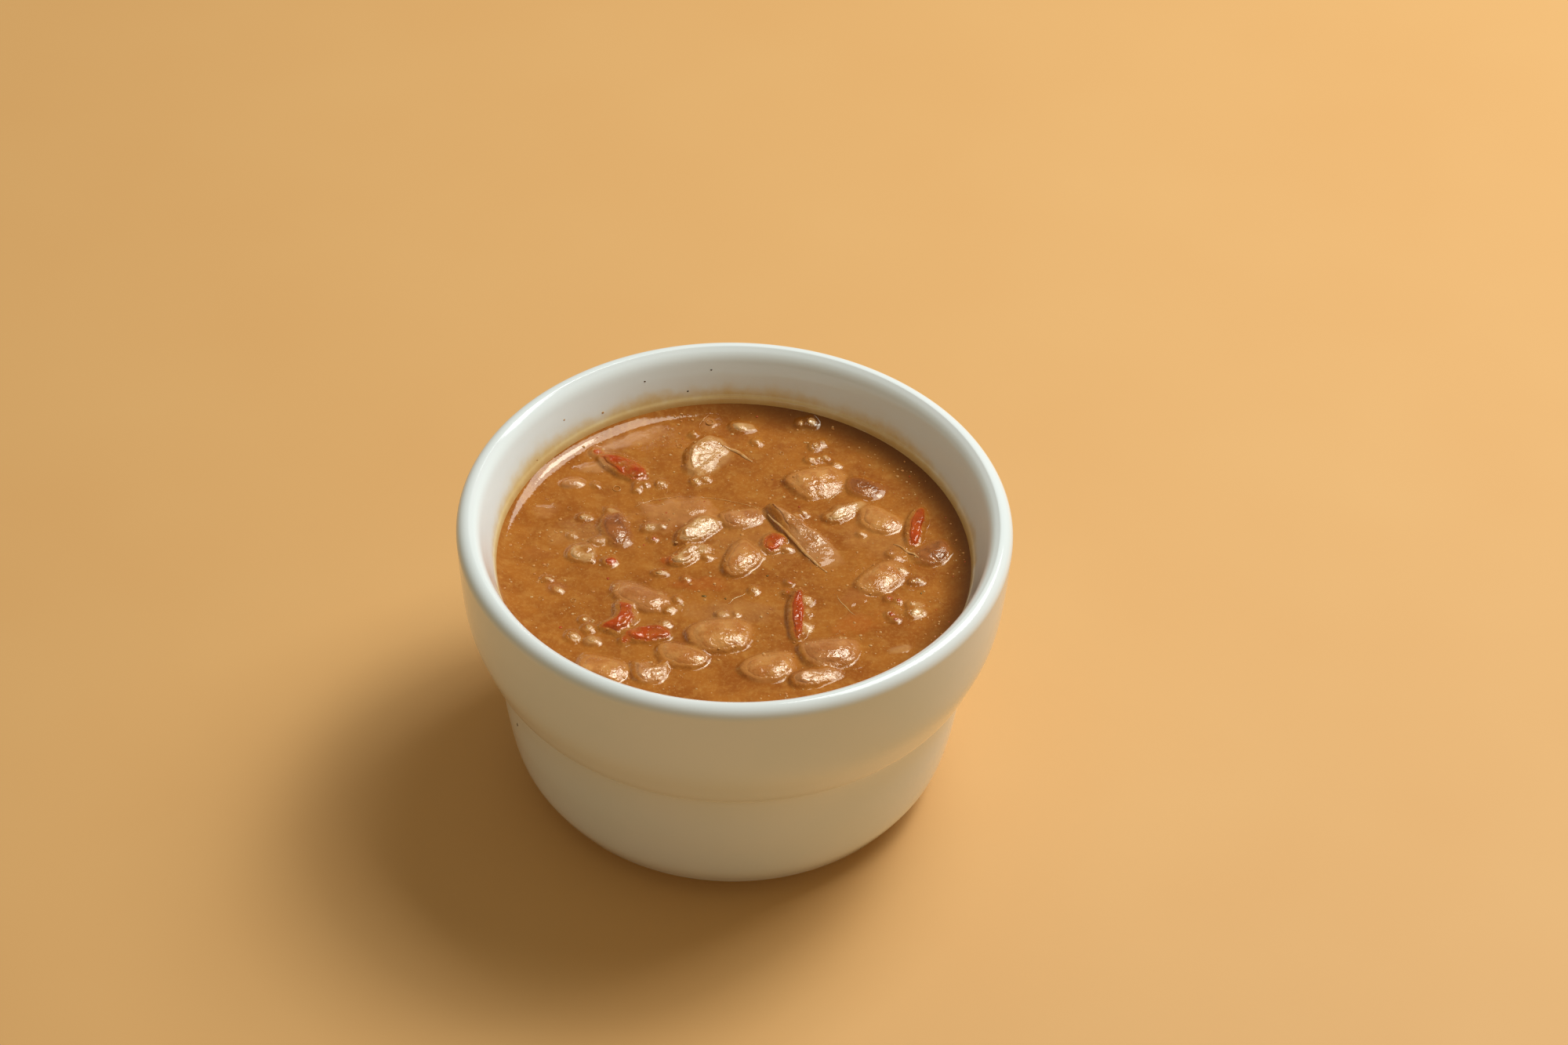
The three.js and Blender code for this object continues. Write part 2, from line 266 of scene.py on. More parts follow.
class Shader:
    """A material with a Principled surface, and short ways to add nodes to it."""

    def __init__(self, name, roughness, ior, gloss=(1.0, 1.0, 1.0, 1.0)):
        self.material = bpy.data.materials.new(name)
        self.material.use_nodes = True
        self.tree = self.material.node_tree
        self.surface = next(n for n in self.tree.nodes if n.type == "BSDF_PRINCIPLED")
        self.fill(self.surface, Roughness=roughness, IOR=ior, Specular_Tint=gloss)
        self.place = self.add("ShaderNodeTexCoord").outputs["Object"]

    def add(self, kind, **settings):
        node = self.tree.nodes.new(kind)
        for key, value in settings.items():
            setattr(node, key, value)
        return node

    def put(self, socket, value):
        """Sets a socket to a value, or joins it to another node's output."""
        if isinstance(value, bpy.types.NodeSocket):
            self.tree.links.new(value, socket)
        else:
            socket.default_value = value

    def texture(self, kind, size, **settings):
        """A texture "size" millimetres across, with its inputs by name."""
        node = self.add(kind)
        self.put(node.inputs["Vector"], self.place)
        self.fill(node, Scale=1 / (size * MM), **settings)
        return node

    def fill(self, node, **values):
        """Sets inputs by name, with _ for each space."""
        for name, value in values.items():
            self.put(node.inputs[name.replace("_", " ")], value)

    def noise(self, size, detail=3.0, roughness=0.55):
        """Noise of 0 to 1 with lumps "size" millimetres across."""
        node = self.texture("ShaderNodeTexNoise", size, Detail=detail, Roughness=roughness)
        return node.outputs["Fac"]

    def cells(self, size):
        """Distance to scattered points "size" millimetres apart."""
        return self.texture("ShaderNodeTexVoronoi", size).outputs["Distance"]

    def number(self, name):
        return self.add("ShaderNodeAttribute", attribute_name=name).outputs["Fac"]

    def colour(self, name):
        return self.add("ShaderNodeAttribute", attribute_name=name).outputs["Color"]

    def height(self):
        """Height over the part's foot, in metres."""
        node = self.add("ShaderNodeSeparateXYZ")
        self.put(node.inputs[0], self.place)
        return node.outputs["Z"]

    def math(self, operation, first, second):
        node = self.add("ShaderNodeMath", operation=operation)
        self.put(node.inputs[0], first)
        self.put(node.inputs[1], second)
        return node.outputs[0]

    def times(self, first, second):
        return self.math("MULTIPLY", first, second)

    def span(self, value, low, high, to_low=0.0, to_high=1.0):
        """Turns low..high into to_low..to_high with soft ends."""
        node = self.add("ShaderNodeMapRange", interpolation_type="SMOOTHSTEP")
        self.fill(node, Value=value, From_Min=low, From_Max=high, To_Min=to_low, To_Max=to_high)
        return node.outputs["Result"]

    def mix(self, share, first, second):
        node = self.add("ShaderNodeMix", data_type="RGBA", clamp_factor=True)
        self.put(node.inputs["Factor"], share)
        self.put(node.inputs[6], first)
        self.put(node.inputs[7], second)
        return node.outputs[2]

    def paint(self, tone):
        self.fill(self.surface, Base_Color=tone)

    def bump(self, value, depth):
        """Fine relief from a noise of 0 to 1, as deep as "depth" millimetres."""
        node = self.add("ShaderNodeBump")
        self.fill(node, Strength=1.0, Distance=depth * MM, Height=value)
        self.fill(self.surface, Normal=node.outputs["Normal"])

    def grit(self, depth):
        """The relief of grainy places: fine lumps where the mesh's "grainy" number is high."""
        self.bump(self.times(self.noise(0.8, 2.0, 0.5), self.number("grainy")), depth)


def broth_colour(shader):
    """The broth's mottled orange brown."""
    wide = shader.span(shader.noise(7.0, 4.0, 0.6), 0.3, 0.66)
    middling = shader.span(shader.noise(2.4, 4.0, 0.6), 0.48, 0.72)
    fine = shader.span(shader.noise(0.7, 5.0, 0.7), 0.45, 0.8)
    base = shader.mix(wide, BROTH_DEEP, BROTH_MAIN)
    base = shader.mix(shader.times(middling, 0.3), base, BROTH_GOLD)
    return shader.mix(shader.times(fine, 0.55), base, BROTH_GOLD)


def broth_material():
    """The broth, with what shows through it where the mesh's "thin" number is high."""
    shader = Shader("broth_gravy", roughness=0.05, ior=1.47, gloss=OILY_GLOSS)
    base = broth_colour(shader)
    grains = shader.span(shader.cells(0.75), 0.0, 0.22, 1.0, 0.0)
    patchy = shader.span(shader.noise(4.0), 0.5, 0.7)
    base = shader.mix(shader.times(grains, shader.times(patchy, 0.6)), base, BROTH_GRAIN)
    shader.paint(shader.mix(shader.number("thin"), base, shader.colour("under")))
    shader.grit(0.2)
    return shader.material


def food_material(name, kind, relief, roughness=0.07, ior=1.7):
    """A piece of food, coated by the broth near its waterline."""
    look = LOOKS[kind]
    shader = Shader(name, roughness, ior, OILY_GLOSS)
    wide = shader.span(shader.noise(3.0), 0.35, 0.65)
    fine = shader.span(shader.noise(0.6, 4.0, 0.7), 0.35, 0.75)
    base = shader.mix(wide, look["dark"], look["light"])
    base = shader.mix(shader.times(fine, 0.35), base, look["light"])
    shader.paint(shader.mix(shader.number("coat"), base, broth_colour(shader)))
    shader.fill(shader.surface, Subsurface_Weight=0.15, Subsurface_Radius=(1.0, 0.5, 0.25),
                Subsurface_Scale=0.8 * MM)
    shader.grit(relief)
    return shader.material


# ---- The camera ----

def make_camera():
    pitch = math.radians(CAMERA_PITCH)
    roll = math.radians(CAMERA_ROLL)
    right = Vector((1, 0, 0))
    ahead = Vector((0, math.cos(pitch), -math.sin(pitch)))
    down = Vector((0, -math.sin(pitch), -math.cos(pitch)))
    image_right = math.cos(roll) * right + math.sin(roll) * down
    image_up = math.sin(roll) * right - math.cos(roll) * down
    turn = Matrix((image_right, image_up, -ahead)).transposed().to_4x4()
    data = bpy.data.cameras.new("camera")
    data.lens = CAMERA_LENS
    data.sensor_width = SENSOR_WIDTH
    data.clip_start = NEAREST_SEEN
    made = placed("camera", data)
    made.matrix_world = Matrix.Translation(Vector(CAMERA_PLACE) * MM) @ turn
    bpy.context.scene.camera = made


# ---- The light and the floor ----
KEY_TURN = 38  # degrees from +X towards +Y
KEY_RISE = 56
KEY_DISTANCE = 1.0
KEY_SIZE = (0.56, 0.66)
KEY_WATTS = 7.8
CORE_SIZE = (0.2, 0.24)  # the light's brighter middle
CORE_WATTS = 2.0
CORE_DISTANCE = 0.98
KEY_COLOUR = (0.96, 0.995, 1.02)
FILL_STRENGTH = 0.255
FILL_COLOUR = (1.0, 0.91, 0.68, 1.0)


def soft_box(name, size, watts, distance):
    """A rectangle of light that faces the broth from the back right."""
    turn = math.radians(KEY_TURN)
    rise = math.radians(KEY_RISE)
    toward = Vector((
        math.cos(rise) * math.cos(turn), math.cos(rise) * math.sin(turn), math.sin(rise)
    ))
    data = bpy.data.lights.new(name, "AREA")
    data.shape = "RECTANGLE"
    data.size, data.size_y = size
    data.energy = watts
    data.color = KEY_COLOUR
    made = placed(name, data)
    made.location = toward * distance + Vector((0, 0, BROTH_LEVEL * MM))
    made.rotation_euler = toward.to_track_quat("Z", "Y").to_euler()


def make_light():
    soft_box("key_light", KEY_SIZE, KEY_WATTS, KEY_DISTANCE)
    soft_box("key_light_core", CORE_SIZE, CORE_WATTS, CORE_DISTANCE)
    world = bpy.data.worlds.new("room")
    bpy.context.scene.world = world
    world.use_nodes = True
    back = world.node_tree.nodes["Background"]
    back.inputs["Color"].default_value = FILL_COLOUR
    back.inputs["Strength"].default_value = FILL_STRENGTH
    view = bpy.context.scene.view_settings
    view.view_transform = "Standard"
    view.look = "None"


FLOOR_HALF = 1800
FLOOR_DROP = 0.05


def make_floor():
    corners = [(-1, -1), (1, -1), (1, 1), (-1, 1)]
    points = [(x * FLOOR_HALF, y * FLOOR_HALF, -FLOOR_DROP) for x, y in corners]
    shader = Shader("floor_paint", roughness=0.6, ior=1.45)
    shader.paint(shader.mix(shader.noise(60.0, 2.0), FLOOR_COLOUR, FLOOR_PALE))
    made = make_object("floor", points, [(0, 1, 2, 3)], [shader.material])


# ---- The cup ----
AROUND = 256
RECESS_STEPS, ROOT_STEPS, OUTSIDE_STEPS, INSIDE_STEPS = 16, 6, 90, 110
EDGE_STEPS, LIP_STEPS = 5, 14


def smooth_line(stations, steps):
    """Points on the smooth line through the stations, evenly in its own measure."""
    at = np.array(stations, float)
    last = len(at) - 1
    line = []
    for share in np.linspace(0, last, steps + 1):
        i = min(int(share), last - 1)
        t = share - i
        before, start, end, after = at[max(i - 1, 0)], at[i], at[i + 1], at[min(i + 2, last)]
        leave, arrive = (end - before) / 2, (after - start) / 2
        line.append(
            (2 * start - 2 * end + leave + arrive) * t**3
            + (3 * end - 3 * start - 2 * leave - arrive) * t**2
            + leave * t
            + start
        )
    return line


def arc(middle, radius, start, end, steps):
    angles = np.radians(np.linspace(start, end, steps + 1))
    return [np.array(middle) + radius * np.array([math.cos(a), math.sin(a)]) for a in angles]


def cup_profile():
    """Once round the cup's section, from the middle underneath to the middle of its floor."""
    recess = smooth_line([
        [0, FOOT_RECESS + FOOT_RECESS_DOME], [16, FOOT_RECESS + FOOT_RECESS_DOME * 0.75],
        [FOOT_INNER_RADIUS - 1.6, FOOT_RECESS], [FOOT_INNER_RADIUS - 0.2, FOOT_RECESS - 0.8],
    ], RECESS_STEPS)
    edge = FOOT_EDGE
    inner_edge = arc([FOOT_INNER_RADIUS + edge, edge], edge, 180, 270, EDGE_STEPS)
    outer_edge = arc([FOOT_OUTER_RADIUS - edge, edge], edge, 270, 360, EDGE_STEPS)
    beside = [FOOT_OUTER_RADIUS + 0.9, FOOT_RECESS - 0.3]
    root = smooth_line([outer_edge[-1], beside, OUTSIDE[0]], ROOT_STEPS)
    outside = smooth_line(OUTSIDE, OUTSIDE_STEPS)
    lip = arc([RIM_RADIUS - LIP_RADIUS, LIP_START], LIP_RADIUS, 0, LIP_END_TURN, LIP_STEPS)
    inside = smooth_line(INSIDE, INSIDE_STEPS)
    return np.array([
        *recess, *inner_edge, *outer_edge, *root[1:-1], *outside, *lip[1:-1], *inside,
    ])


def tube_quads(rings, around, closed=False):
    """Quads round a tube of rings of points. A closed tube's last ring is joined to its first."""
    number = np.arange(rings * around).reshape(rings, around)
    beyond, beside = np.roll(number, -1, axis=0), np.roll(number, -1, axis=1)
    quads = np.stack([number, beside, np.roll(beyond, -1, axis=1), beyond], axis=-1)
    return quads[: rings if closed else rings - 1].reshape(-1, 4)


def split(quads):
    return np.vstack([quads[:, [0, 1, 2]], quads[:, [0, 2, 3]]])


def lathe(profile, around):
    """Turns a profile that starts and ends on the axis about Z."""
    angles = np.arange(around) * 2 * math.pi / around
    turns = np.column_stack([np.cos(angles), np.sin(angles)])
    rings = [np.column_stack([radius * turns, np.full(around, z)]) for radius, z in profile[1:-1]]
    ends = [[0, 0, profile[0][1]], [0, 0, profile[-1][1]]]
    points = np.vstack([*rings, ends])
    start, end = len(points) - 2, len(points) - 1
    first = np.arange(around)
    last = first + around * (len(rings) - 1)
    faces = tube_quads(len(rings), around).tolist()
    faces += [(start, after, i) for i, after in zip(first, np.roll(first, -1))]
    faces += [(i, after, end) for i, after in zip(last, np.roll(last, -1))]
    return points, faces


STAIN_USUAL = 3.6
STAIN_RISES = [(1.8, 150, 24), (1.9, 95, 45)]  # how much higher, at which turn, over how far round
# Each layer's colour, the shares of the stain's height between which it fades, and its strength.
STAIN_LAYERS = [
    (STAIN_FAINT, 0.75, 1.5, 0.3), (STAIN_DRIED, 0.55, 1.15, 0.85), (STAIN_FRESH, 0.15, 0.75, 0.75),
]


def stain_height(points):
    """How far over the broth the dried tide mark reaches on the wall, all round, in millimetres."""
    turn = np.degrees(np.arctan2(points[:, 1], points[:, 0]))
    angle = np.radians(turn)
    around = np.column_stack([40 * np.cos(angle), 40 * np.sin(angle), 0 * angle])
    uneven = 1.2 * layered(around, 18, 41) + 0.4 * layered(around, 5, 47)
    rises = [high * np.exp(-(((turn - at) / wide) ** 2)) for high, at, wide in STAIN_RISES]
    return STAIN_USUAL + sum(rises) + uneven


def glaze_material():
    """White glaze, painted lighter on the inside as painted light, with a tide mark on the inside.
    """
    shader = Shader("white_glaze", roughness=0.09, ior=1.5)
    tone = shader.mix(shader.span(shader.noise(24.0, 2.0), 0.3, 0.7), GLAZE_WHITE, GLAZE_SHADE)
    inside = shader.number("inside")
    # Painted light: the inner wall's glaze is painted lighter than the outer's.
    tone = shader.mix(inside, tone, GLAZE_INSIDE_PAINTED_LIGHT)
    over = shader.math("SUBTRACT", shader.height(), BROTH_LEVEL * MM)
    share = shader.math("DIVIDE", shader.math("DIVIDE", over, MM), shader.number("stain"))
    ragged = shader.math("SUBTRACT", shader.noise(3.0, 4.0, 0.6), 0.5)
    share = shader.math("ADD", share, shader.times(ragged, 0.45))
    for colour, full_to, none_from, strength in STAIN_LAYERS:
        fading = shader.span(share, full_to, none_from, strength, 0.0)
        tone = shader.mix(shader.times(fading, inside), tone, colour)
    shader.paint(tone)
    shader.bump(shader.noise(14.0, 1.0), 0.05)
    return shader.material


def bisque_material():
    shader = Shader("bare_foot", roughness=0.7, ior=1.5)
    shader.paint(shader.mix(shader.noise(1.2, 4.0), BISQUE_LIGHT, BISQUE_DARK))
    shader.bump(shader.noise(0.4, 4.0), 0.03)
    return shader.material


# Specks on the cup: the turn round it and the height in millimetres, then how wide and which wall.
GLAZE_SPECKS = [
    (-154.7, 24.1, 0.7, "outside"), (-106.2, 7.2, 0.5, "outside"),
    (97.2, 59.0, 0.4, "inside"), (113.5, 58.6, 0.4, "inside"), (103.1, 55.0, 0.45, "inside"),
]
WALL_CRUMBS = [
    (125.5, 55.1, 0.6, "inside"), (136.5, 57.6, 0.5, "inside"), (99.8, 52.2, 0.5, "inside"),
    (61.0, 52.4, 0.5, "inside"), (148.0, 54.0, 0.4, "inside"), (117.0, 53.2, 0.45, "inside"),
]


def on_wall(rows, seed):
    """Small flat lumps that lie on one of the cup's walls."""
    lump, faces = ball(2)
    parts = []
    for n, (turn, height, wide, wall) in enumerate(rows):
        stations = np.array(OUTSIDE if wall == "outside" else INNER_WALL)
        radius = np.interp(height, stations[:, 1], stations[:, 0])
        uneven = lump * (1 + 0.3 * layered(lump, 0.9, seed + n)[:, None])
        points = uneven * [wide * 0.15, wide / 2, wide / 2] + [radius, 0, height]
        parts.append((turned(points, turn), faces))
    return joined(parts)


def speck_material():
    shader = Shader("glaze_speck", roughness=0.15, ior=1.5)
    shader.paint(shader.mix(shader.noise(0.3, 2.0), SPECK_DARK, SPECK_LIGHT))
    return shader.material


def make_specks():
    points, faces = on_wall(GLAZE_SPECKS, 900)
    part_of_bowl(make_object("glaze_specks", points, faces, [speck_material()]))
    skin = food_material("wall_crumb_skin", "onion", relief=0.05, roughness=0.4, ior=1.4)
    make_food("wall_crumbs", on_wall(WALL_CRUMBS, 920), skin, coat=0.2, grainy=0.5)


def make_cup():
    points, faces = lathe(cup_profile(), AROUND)
    made = make_object("white_cup", points, faces, [glaze_material(), bisque_material()])
    heights = points[:, 2]
    out = np.hypot(points[:, 0], points[:, 1]) - np.interp(heights, INSIDE_HEIGHTS, INSIDE_RADII)
    set_number(made, "inside", smooth_step(*INSIDE_ENDS, out))
    set_number(made, "stain", stain_height(points))
    for polygon in made.data.polygons:
        if all(heights[i] < FOOT_EDGE * 0.6 for i in polygon.vertices):
            polygon.material_index = 1
    part_of_bowl(made, "bowl")


# ---- The surface of the broth, as heights on a square grid ----
GRID_STEP = 0.2
GRID_HALF = 48.0
GRID_LINE = np.arange(-GRID_HALF, GRID_HALF + GRID_STEP / 2, GRID_STEP)
GRID_X, GRID_Y = np.meshgrid(GRID_LINE, GRID_LINE, indexing="ij")
GRID_POINTS = np.column_stack([GRID_X.ravel(), GRID_Y.ravel(), np.zeros(GRID_X.size)])
GRID_RADIUS = np.hypot(GRID_X, GRID_Y)
FAR_BELOW = BROTH_LEVEL - 6
WALL_SHADOW_WIDE = 7.0  # how far in from the wall the broth is painted darker, as painted shadow of the wall, at the back and the right
WALL_SHADOW_SHARE = 0.85
WALL_SHADOW_ENDS = ((115, 80), (-55, -25))  # the turns between which it fades, at either end
FILM_EDGE = 0.22  # the broth's thickness over a piece, at its edge
FILM_TOP = -0.2  # and on its top, where the piece comes through it
LOW_PIECE = 0.8  # a piece lower than this over the broth is coated as if it were this high
FILM_BANK = 0.22  # how much more broth lies on the side of a piece that faces away from the light
AWAY = (0.83, -0.56)  # that side's direction
WIDE_SKIRT, NARROW_SKIRT = (0.7, 2.2), (1.0, 1.9)  # how steeply the broth falls off, and how far
FILLET = 0.5
MENISCUS_RISE = 1.5
MENISCUS_REACH = 2.1


def sampled(field, x, y):
    """A grid's value between its points."""
    across = np.clip((x + GRID_HALF) / GRID_STEP, 0, len(GRID_LINE) - 1.001)
    along = np.clip((y + GRID_HALF) / GRID_STEP, 0, len(GRID_LINE) - 1.001)
    i, j = across.astype(int), along.astype(int)
    s, t = across - i, along - j
    if field.ndim == 3:
        s, t = s[:, None], t[:, None]
    low = field[i, j] * (1 - s) + field[i + 1, j] * s
    high = field[i, j + 1] * (1 - s) + field[i + 1, j + 1] * s
    return low * (1 - t) + high * t


def stamp_top(top, owner, points, faces, mark):
    """Raises the grid to a piece's upper side, and notes which piece that is."""
    tree = BVHTree.FromPolygons(points.tolist(), faces)
    low, high = points.min(0), points.max(0)
    first = np.searchsorted(GRID_LINE, low[:2])
    last = np.searchsorted(GRID_LINE, high[:2])
    for i in range(first[0], last[0]):
        for j in range(first[1], last[1]):
            start = Vector((GRID_LINE[i], GRID_LINE[j], high[2] + 1))
            hit = tree.ray_cast(start, Vector((0, 0, -1)))[0]
            if hit is not None and hit.z > top[i, j]:
                top[i, j] = hit.z
                owner[i, j] = mark


def spread(top, steepness, reach):
    """Skirts that fall away from each height as a parabola: the shape that wet broth climbs."""
    steps = int(reach / GRID_STEP)
    for axis in (0, 1):
        best = top.copy()
        for k in range(-steps, steps + 1):
            drop = steepness * (k * GRID_STEP) ** 2
            best = np.maximum(best, np.roll(top, k, axis) - drop)
        top = best
    return top


def blended_max(first, second, width):
    """The higher of two heights, with a smooth fillet where they cross."""
    share = np.clip(0.5 + 0.5 * (first - second) / width, 0, 1)
    return second * (1 - share) + first * share + width * share * (1 - share)


def open_surface():
    """The broth with nothing in it: nearly level, uneven, and risen where it wets the wall."""
    turn = np.arctan2(GRID_Y, GRID_X)
    wide = 0.18 * lumps(GRID_POINTS, 13, 3) + 0.12 * lumps(GRID_POINTS, 5, 4)
    patchy = smooth_step(-0.1, 0.7, lumps(GRID_POINTS, 6, 5))
    fine = 0.03 * layered(GRID_POINTS, 1.1, 6) * patchy
    uneven = (wide + fine).reshape(GRID_X.shape)
    calm = smooth_step(1.5, 5, WALL_AT_BROTH - GRID_RADIUS)
    gap = np.maximum(WALL_AT_BROTH + WALL_FLARE * MENISCUS_RISE - GRID_RADIUS, -1)
    rise = MENISCUS_RISE * (1 + 0.12 * np.cos(turn - math.radians(144)))
    return BROTH_LEVEL + uneven * calm + rise * np.exp(-gap / MENISCUS_REACH)


def blurred(field, rounds):
    """A grid evened out between neighbours."""
    for _ in range(rounds):
        for axis in (0, 1):
            field = (np.roll(field, 1, axis) + 2 * field + np.roll(field, -1, axis)) / 4
    return field


def wet_surface(top, bare):
    """The broth's height where it wets and partly covers the pieces."""
    ragged = (0.06 * layered(GRID_POINTS, 2.8, 8, 4)).reshape(GRID_X.shape)
    wide, narrow = spread(top, *WIDE_SKIRT), spread(top, *NARROW_SKIRT)
    slope_x, slope_y = np.gradient(blurred(wide, 6), GRID_STEP)
    bank = np.clip(AWAY[0] * slope_x + AWAY[1] * slope_y, -0.6, 1.0)
    skirt = narrow + (wide - narrow) * smooth_step(-0.4, 0.4, bank)
    peak = np.maximum(spread(top, 0, 3.0) - bare, LOW_PIECE)
    share_up = np.maximum(skirt - bare, 0) / peak
    film = FILM_EDGE - (FILM_EDGE - FILM_TOP) * smooth_step(0.1, 0.9, share_up)
    coated = blurred(skirt, 2) + film + ragged + FILM_BANK * bank
    return blended_max(bare, coated, FILLET)


SURFACE_CELLS = 300
WATERLINE_FILM = 0.35  # the share of broth colour where a piece comes out of the broth
WATERLINE_FADE = 0.35  # and how far up the piece that share falls off
SEEN_THROUGH = 0.55  # how deep in the broth a piece still shows
GRAIN_RISE = 0.1
GRAIN_SHOWN = 0.42
WALL_ROWS = 5


def disc_points(cells, radius):
    """A square net of points drawn out to a disc, with cells of nearly even size."""
    line = np.linspace(-1, 1, cells + 1)
    a, b = np.meshgrid(line, line, indexing="ij")
    wide = np.abs(a) > np.abs(b)
    main = np.where(wide, a, b)
    ratio = np.where(wide, b, a) / np.where(main == 0, 1, main)
    turn = np.where(wide, math.pi / 4 * ratio, math.pi / 2 - math.pi / 4 * ratio)
    return (radius * main * np.cos(turn)).ravel(), (radius * main * np.sin(turn)).ravel()


def make_wet(name, points, faces, thin, grainy, under, node=None):
    """A mesh of broth, with how much shows through it at each point, its grit, and what shows."""
    made = make_object(name, points, faces, [broth_material()])
    set_number(made, "thin", thin)
    set_number(made, "grainy", grainy)
    set_colour(made, "under", under)
    part_of_bowl(made, node)


def make_broth(surface, thin, under, grainy):
    """The whole broth: its surface from the grid, and its plain sides and bottom in the cup."""
    x, y = disc_points(SURFACE_CELLS, BROTH_EDGE)
    points = list(zip(x, y, sampled(surface, x, y)))
    net = np.arange(len(x)).reshape(SURFACE_CELLS + 1, -1)
    corners = (net[:-1, :-1], net[1:, :-1], net[1:, 1:], net[:-1, 1:])
    faces = np.stack(corners, axis=-1).reshape(-1, 4).tolist()
    ring = [*net[:-1, 0], *net[-1, :-1], *net[:0:-1, -1], *net[0, :0:-1]]
    turns = np.arctan2(y[ring], x[ring])
    section = smooth_line([[WALL_AT_BROTH + 0.3, BROTH_LEVEL - 1], *INSIDE_BELOW[:-1]], WALL_ROWS)
    for radius, height in section:
        below = len(points) + np.arange(len(ring))
        points.extend(zip(radius * np.cos(turns), radius * np.sin(turns), [height] * len(ring)))
        faces.extend(zip(np.roll(ring, -1), ring, below, np.roll(below, -1)))
        ring = below
    faces.extend((after, here, len(points)) for after, here in zip(np.roll(ring, -1), ring))
    points.append((0, 0, FLOOR_HEIGHT + 0.1))
    hidden = len(points) - len(x)
    numbers = [np.pad(sampled(field, x, y), (0, hidden)) for field in (thin, grainy)]
    colours = np.vstack([sampled(under, x, y), np.tile(BROTH_MAIN, (hidden, 1))])
    make_wet("broth_surface", points, faces, *numbers, colours, "broth")


# ---- The pieces ----
RELIEF = {
    # wide unevenness and fine wrinkles, as (millimetres deep, millimetres across), then bump
    "bean_tan": ((0.08, 4.0), (0.05, 1.0), 0.18),
    "bean_pink": ((0.09, 4.0), (0.05, 1.0), 0.18),
    "bean_dark": ((0.10, 3.0), (0.05, 1.0), 0.17),
    "ham": ((0.15, 3.0), (0.04, 0.9), 0.16),
    "onion": ((0.15, 3.0), (0.04, 0.9), 0.14),
    "tomato": ((0.18, 2.6), (0.06, 0.9), 0.14),
}
# How strongly each kind mirrors the light, as an index of refraction.
WETNESS = {
    "bean_tan": 1.58, "bean_pink": 1.6, "bean_dark": 1.6, "ham": 1.6, "onion": 1.54, "tomato": 1.5,
}
BEAN_VOXEL, BEAN_ROUNDS = 0.2, 26
SLICE_VOXEL, SLICE_ROUNDS = 0.16, 4
BEAN_HEIGHT, SLICE_HEIGHT = 0.66, 0.8  # the share of a piece's height over the broth that is kept
PLUMPER = 0.2  # what the rounding takes off a piece, given back
BEAN_CORNERS = 2.5  # 2 leaves a bean's outline oval, and more fills out its corners
TOP_CURVE = 1.25  # 1 keeps a piece's top as round as it is, and more makes it flatter


def kind_of(node):
    """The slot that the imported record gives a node."""
    slots = {part["node"]: part["material_slot"] for part in frame["record"]["subparts"]}
    return slots[node]


# The rise for each millimetre along x and y that makes a flat top mirror the light.
BRIGHT_SLOPE = np.array([-0.337, 0.239])

# The share of that slope to which a piece leans.
LEANS = {
    "onion_petal": 0.85, "onion_wedge": 0.8, "onion_strip": 0.6, "onion_sliver": 0.65,
    "onion_bit": 0.4, "ham_slice": 0.42, "ham_strip": 0.55, "ham_curl": 0.55, "tomato_skin": 0.2,
    "tomato_curl": 0.2, "tomato_chunk": 0.2, "tomato_bit": 0.3,
    "pepper_piece": 0.2, "pepper_strip": 0.15, "bean_01": 0.4, "bean_02": 0.35, "bean_03": 0.15,
    "bean_04": 0.2, "bean_05": 0.45, "bean_06": 0.4, "bean_07": 0.35, "bean_09": 0.45,
    "bean_11": 0.1, "bean_13": 0.15, "bean_14": 0.3,
}
# How much narrower a piece's left end is than its right.
TAPERS = {"ham_slice": 0.75, "onion_petal": 0.2, "tomato_chunk": 0.4, "bean_06": 0.3}
# How much of a piece's colour the broth on it hides.
FILMS = {
    "ham_slice": 0.35, "onion_strip": 0.85, "onion_sliver": 0.75, "onion_bit": 0.6,
    "ham_strip": 0.55, "ham_curl": 0.3, "onion_petal": 0.3, "onion_wedge": 0.3,
    "tomato_chunk": 0.75, "tomato_curl": 0.3, "pepper_strip": 0.25,
    "tomato_bit": 0.8, "pepper_piece": 0.35, "tomato_skin": 0.4, "bean_08": 0.5, "bean_10": 0.35,
}
USUAL_FILM = 0.2
BITS_FILM = 0.1
# How far a piece's outline is pushed about, in millimetres.
WARPS = {"bean_01": 0.6, "bean_05": 0.55, "bean_06": 0.45, "bean_14": 0.4, "bean_15": 0.35}
USUAL_BEAN_WARP = 0.15
USUAL_SLICE_WARP = 0.55
WARP_SIZE = 4.0
# The share of its width, and the move from its place, that a piece is given.
SLIMMED = {"pepper_piece": 0.62, "pepper_strip": 0.8}
SHIFTS = {"ham_slice": (-0.2, -1.2, 0.5)}


def long_way(points):
    """The direction, towards +X, in which a piece seen from above is longest."""
    _, _, ways = np.linalg.svd(points[:, :2] - points[:, :2].mean(0), full_matrices=False)
    return ways[0] * (1 if ways[0][0] > 0 else -1)


def on_its_ways(points):
    """A piece from above: its middle, its long and short ways, and each point's place on those."""
    way = long_way(points)
    side = np.array([-way[1], way[0]])
    middle = points[:, :2].mean(0)
    off = points[:, :2] - middle
    return middle, way, side, off @ way, off @ side


def tapered(points, amount):
    """Draws in the sides of a piece towards its left end."""
    middle, way, side, along, across = on_its_ways(points)
    share = (along.max() - along) / (along.max() - along.min())
    across = across * (1 - amount * share)
    flat = middle + along[:, None] * way + across[:, None] * side
    return np.column_stack([flat, points[:, 2]])


def slimmed(points, share):
    """Draws in both long sides of a piece to a share of its width."""
    _, _, side, _, across = on_its_ways(points)
    flat = points[:, :2] - np.outer(across * (1 - share), side)
    return np.column_stack([flat, points[:, 2]])


